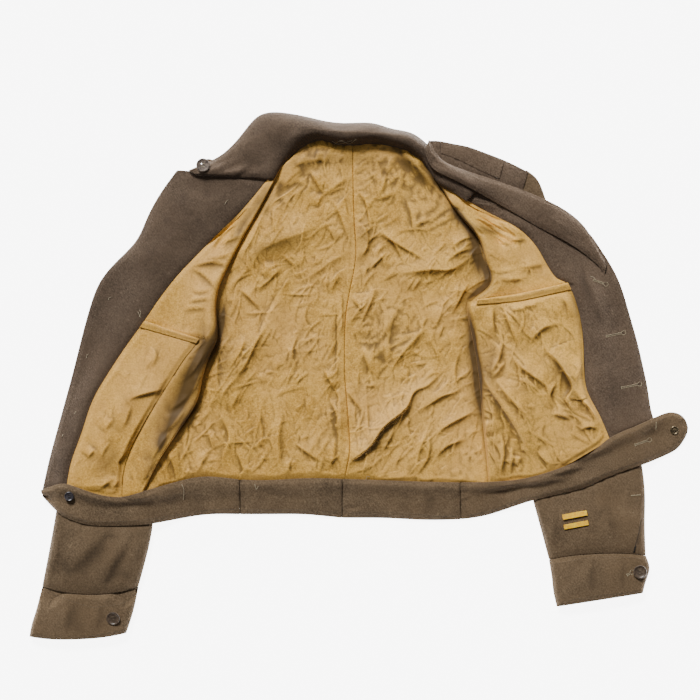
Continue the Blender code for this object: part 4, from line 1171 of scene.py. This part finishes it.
def slit(name, start, end, half=0.2, depth=0.5):
    """A cut in the cloth: a narrow dark strip along it, painted shade in the cut. half is half its
    width, mm.
    """
    path = np.array(on_cloth([start, end], SLIT_LIFT))
    run = np.diff(path[:, :2], axis=0)
    run = np.vstack([run, run[-1]])
    run /= np.linalg.norm(run, axis=1)[:, None]
    side = np.stack([-run[:, 1], run[:, 0], np.zeros(len(run))], axis=1) * half
    count = len(path)
    points = np.concatenate([path + side, path - side, path + side - (0, 0, depth),
                             path - side - (0, 0, depth)])
    faces = []
    for k in range(count - 1):
        a, b = k, k + 1
        faces += [(a, a + count, b + count, b),
                  (b + 2 * count, b + 3 * count, a + 3 * count, a + 2 * count),
                  (a, b, b + 2 * count, a + 2 * count),
                  (b + count, a + count, a + 3 * count, b + 3 * count)]
    faces += [(0, 2 * count, 3 * count, count),
              (count - 1, 2 * count - 1, 4 * count - 1, 3 * count - 1)]
    return new_object(name, points, faces, "slit")


# ------------------------------------------------------------ buttons, snap and bars
BUTTON_SHARP = radians(38)


def turned(name, profile, place, finish, tilt=(0.0, 0.0), around=48, holes=()):
    """A turned piece from (radius, height) rows in mm, tilted and set at its place."""
    work = bmesh.new()
    rings = []
    for radius, height in profile:
        if radius == 0:
            rings.append([work.verts.new((0, 0, height * MM))])
        else:
            rings.append([work.verts.new((radius * cos(2 * pi * k / around) * MM,
                                          radius * sin(2 * pi * k / around) * MM, height * MM))
                          for k in range(around)])
    for low, high in zip(rings, rings[1:]):
        for k in range(around):
            n = (k + 1) % around
            corners = [low[k % len(low)], low[n % len(low)],
                       high[n % len(high)], high[k % len(high)]]
            work.faces.new(list(dict.fromkeys(corners)))
    bmesh.ops.recalc_face_normals(work, faces=work.faces)
    mesh = bpy.data.meshes.new(name)
    work.to_mesh(mesh)
    work.free()
    made = linked(name, mesh)
    for hole_x, hole_y, hole_radius in holes:
        cutter = drill(hole_x, hole_y, hole_radius)
        cut = made.modifiers.new("hole", "BOOLEAN")
        cut.operation, cut.solver, cut.object = "DIFFERENCE", "EXACT", cutter
        drilled = finished_mesh(made)
        made.modifiers.clear()
        bpy.data.objects.remove(cutter, do_unlink=True)
        made.data = drilled
    made.data.name = name
    made.data.materials.clear()
    made.data.materials.append(MATERIALS[finish])
    points = np.empty(len(made.data.vertices) * 3)
    made.data.vertices.foreach_get("co", points)
    points = points.reshape(-1, 3)
    lean_x, lean_y = tilt
    points[:, 2] += points[:, 0] * lean_x + points[:, 1] * lean_y
    points += np.array(place) * MM
    made.data.vertices.foreach_set("co", points.ravel())
    made.data.shade_smooth()
    made.data.set_sharp_from_angle(angle=BUTTON_SHARP)
    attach(made, "root")
    return made


def drill(x, y, radius):
    """A round cutter for a button's hole, mm."""
    work = bmesh.new()
    bmesh.ops.create_cone(work, cap_ends=True, segments=14, radius1=radius * MM,
                          radius2=radius * MM, depth=12 * MM)
    bmesh.ops.translate(work, verts=work.verts, vec=(x * MM, y * MM, 0))
    mesh = bpy.data.meshes.new("drill")
    work.to_mesh(mesh)
    work.free()
    return linked("drill", mesh)


def seat_of(node, radius):
    """Where a button stands: its node's middle, on the highest cloth under it."""
    low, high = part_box(node)
    x, y = (low[0] + high[0]) / 2 / MM, (low[1] + high[1]) / 2 / MM
    around = [(x + radius * cos(a), y + radius * sin(a)) for a in np.arange(8) * pi / 4]
    return x, y, max(top_at(*place) for place in [(x, y)] + around)


BUTTON_RADIUS = 9.5     # the button that the hole and the profile are given for, mm
HOLE_RADIUS = 0.95
HOLE_SPREAD = 0.22      # from the middle, as a share of the button's radius
BUTTON_LIFT = 0.2
BAR_RADIUS, BAR_BOW = 0.38, 0.5     # of the threads through the holes, mm
# (share of the radius, height in mm), from the middle of the back to that of the face
BUTTON_PROFILE = ((0, 0), (0.62, 0), (0.90, 0.5), (0.985, 1.2), (1.0, 1.8), (0.965, 2.5),
                  (0.90, 2.75), (0.83, 2.6), (0.76, 2.0), (0.70, 1.7), (0.45, 1.5), (0, 1.45))


def four_hole_button(node, radius, finish, thread, tilt=(0.0, 0.0)):
    """A sewn button with a rolled rim, and two bars of thread through its holes. tilt
    is its rise for each mm to +X and to +Y."""
    x, y, z = seat_of(node, radius * 0.7)
    z += BUTTON_LIFT
    size = radius / BUTTON_RADIUS
    spread = radius * HOLE_SPREAD
    holes = [(spread * i, spread * j, HOLE_RADIUS * radius / BUTTON_RADIUS)
             for i in (-1, 1) for j in (-1, 1)]
    profile = [(r * radius, h * max(0.8, size)) for r, h in BUTTON_PROFILE]
    made = turned(node + "_finished", profile, (x, y, z), finish, tilt,
                  holes=holes)
    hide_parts(node)
    top = z + profile[-1][1]
    lines = []
    for j in (-1, 1):
        bar = ((-spread, top), (0, top + BAR_BOW), (spread, top))
        lines.append([(x + dx, y + j * spread, height + (dx * tilt[0] + j * spread * tilt[1]))
                      for dx, height in bar])
    strands(node + "_thread", lines, thread, BAR_RADIUS)


def snap():
    """The stud of the tab's snap: a rolled ring round a domed post."""
    x, y, z = seat_of("tab_snap", 4)
    profile = ((0, 0), (5.8, 0), (6.0, 0.5), (5.6, 1.2), (4.9, 1.5), (4.2, 1.2), (3.8, 0.6),
               (2.4, 0.5), (2.2, 1.6), (1.7, 2.3), (0, 2.6))
    made = turned("tab_snap_finished", profile, (x, y, z + 0.1), "metal")
    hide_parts("tab_snap")


RIB_PITCH = 1.1         # the braid's cross threads, mm
RIB_HEIGHT = 0.2


def braid_bar(node):
    """A bar of gilt braid, ribbed across, over its node."""
    points, normals, faces, _, _ = subdivided(node, 4, 0.8)
    middle = points.mean(axis=0)
    run = np.linalg.svd(points[:, :2] - middle[:2], full_matrices=False)[2][0]
    along = (points[:, :2] - middle[:2]) @ run
    across = (points[:, :2] - middle[:2]) @ (-run[1], run[0])
    lift = max(top_at(*place) for place in points[::40, :2]) - points[:, 2].min()
    ribs = RIB_HEIGHT * np.sin(2 * pi * (along + 0.5 * np.abs(across)) / RIB_PITCH)
    points[:, 2] += max(lift, 0) + 0.1 + (ribs + 0.3) * (normals[:, 2] > 0.5)
    made = new_object(node + "_braid", points, faces, "gold")
    surface_map(made.data, along, across)
    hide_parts(node)


# ------------------------------------------------------------ the jacket
cloths = {piece.node: lay_cloth(piece) for piece in CLOTHS}

four_hole_button("cuff_button_left", 9.5, "plastic", "wool_thread")
four_hole_button("cuff_button_right", 9.5, "plastic", "wool_thread", (0.10, 0.16))
four_hole_button("waistband_button", 6.5, "dark_plastic", "slit")
four_hole_button("shoulder_button", 9.5, "grey_plastic", "pale_thread", (-0.05, -0.1))
snap()
for bar in ("sleeve_bar_upper", "sleeve_bar_lower"):
    braid_bar(bar)

for k, (start, end) in enumerate(BUTTONHOLES):
    sew(f"buttonhole_{k}", buttonhole_lines(start, end), "khaki_thread", 0.8, (0.7, 1.5, 0.5))
    slit(f"buttonhole_slit_{k}", start, end)
# Dark strips of painted shade in the vent's cut and gap.
slit("vent_slit", (395, -201), (385, -246), 0.4)
slit("vent_gap", (386.5, -238), (384.5, -248), 1.5)
sew("wool_topstitch", WOOL_ROWS, "wool_thread", 3.4, (2.2, 0.7, 0.5))
sew("lining_topstitch", LINING_ROWS, "lining_thread", 2.2, (1.6, 0.5, 0.4))
sew("bar_tacks", BAR_TACKS, "khaki_thread", 0.8, (1.0, 1.6, 0.8))
thread_ends("thread_ticks", THREAD_TICKS, "pale_thread")

# ------------------------------------------------------------ floor, light and camera
PIXEL = 1.4             # one pixel of the photograph, mm
EYE = (-12.6, 35.8)     # the photograph's middle, mm
EYE_HEIGHT = 4.0        # metres
FOCUS_HEIGHT = 0.010    # at which a pixel is so wide
SENSOR = 36             # mm
PICTURE = 700           # pixels
FLOOR_REACH, FLOOR_HEIGHT = 6, -0.0004  # metres
FLOOR_GLOW = 7.0

floor_mesh = bpy.data.meshes.new("floor")
floor_mesh.from_pydata([(FLOOR_REACH * i, FLOOR_REACH * j, FLOOR_HEIGHT)
                        for i, j in ((-1, -1), (1, -1), (1, 1), (-1, 1))],
                       [], [(0, 1, 2, 3)])
floor_paint = plain_finish("floor", (0.90, 0.90, 0.90), (0.93, 0.93, 0.93), 0.9, 2.0,
                           depth=0.00001)
floor_shader = floor_paint.node_tree.nodes["Principled BSDF"]
floor_shader.inputs["Emission Color"].default_value = (1, 1, 1, 1)
floor_shader.inputs["Emission Strength"].default_value = FLOOR_GLOW
floor_mesh.materials.append(floor_paint)
linked("floor", floor_mesh)


def lamp(name, kind, place, power, settings):
    """A lamp that looks at the jacket's middle."""
    light = bpy.data.lights.new(name, kind)
    light.energy = power
    for key, value in settings.items():
        setattr(light, key, value)
    made = linked(name, light)
    made.location = place
    made.rotation_euler = (-Vector(place)).to_track_quat("-Z", "Y").to_euler()


lamp("window", "SUN", (-0.9, 2.5, 2.0), 5.3, {"angle": radians(14)})
lamp("ceiling", "AREA", (0.6, 0.2, 3.9), 13, {"shape": "DISK", "size": 3.0})
world = bpy.data.worlds.new("studio")
bpy.context.scene.world = world
world.use_nodes = True
sky = world.node_tree.nodes["Background"]
sky.inputs["Color"].default_value = (1, 1, 1, 1)
sky.inputs["Strength"].default_value = 0.10

camera_data = bpy.data.cameras.new("camera")
camera_data.sensor_width = SENSOR
camera_data.lens = SENSOR / (PICTURE * PIXEL * MM / (EYE_HEIGHT - FOCUS_HEIGHT))
camera_data.clip_end = 50
camera = linked("camera", camera_data)
camera.location = (EYE[0] * MM, EYE[1] * MM, EYE_HEIGHT)
bpy.context.scene.camera = camera
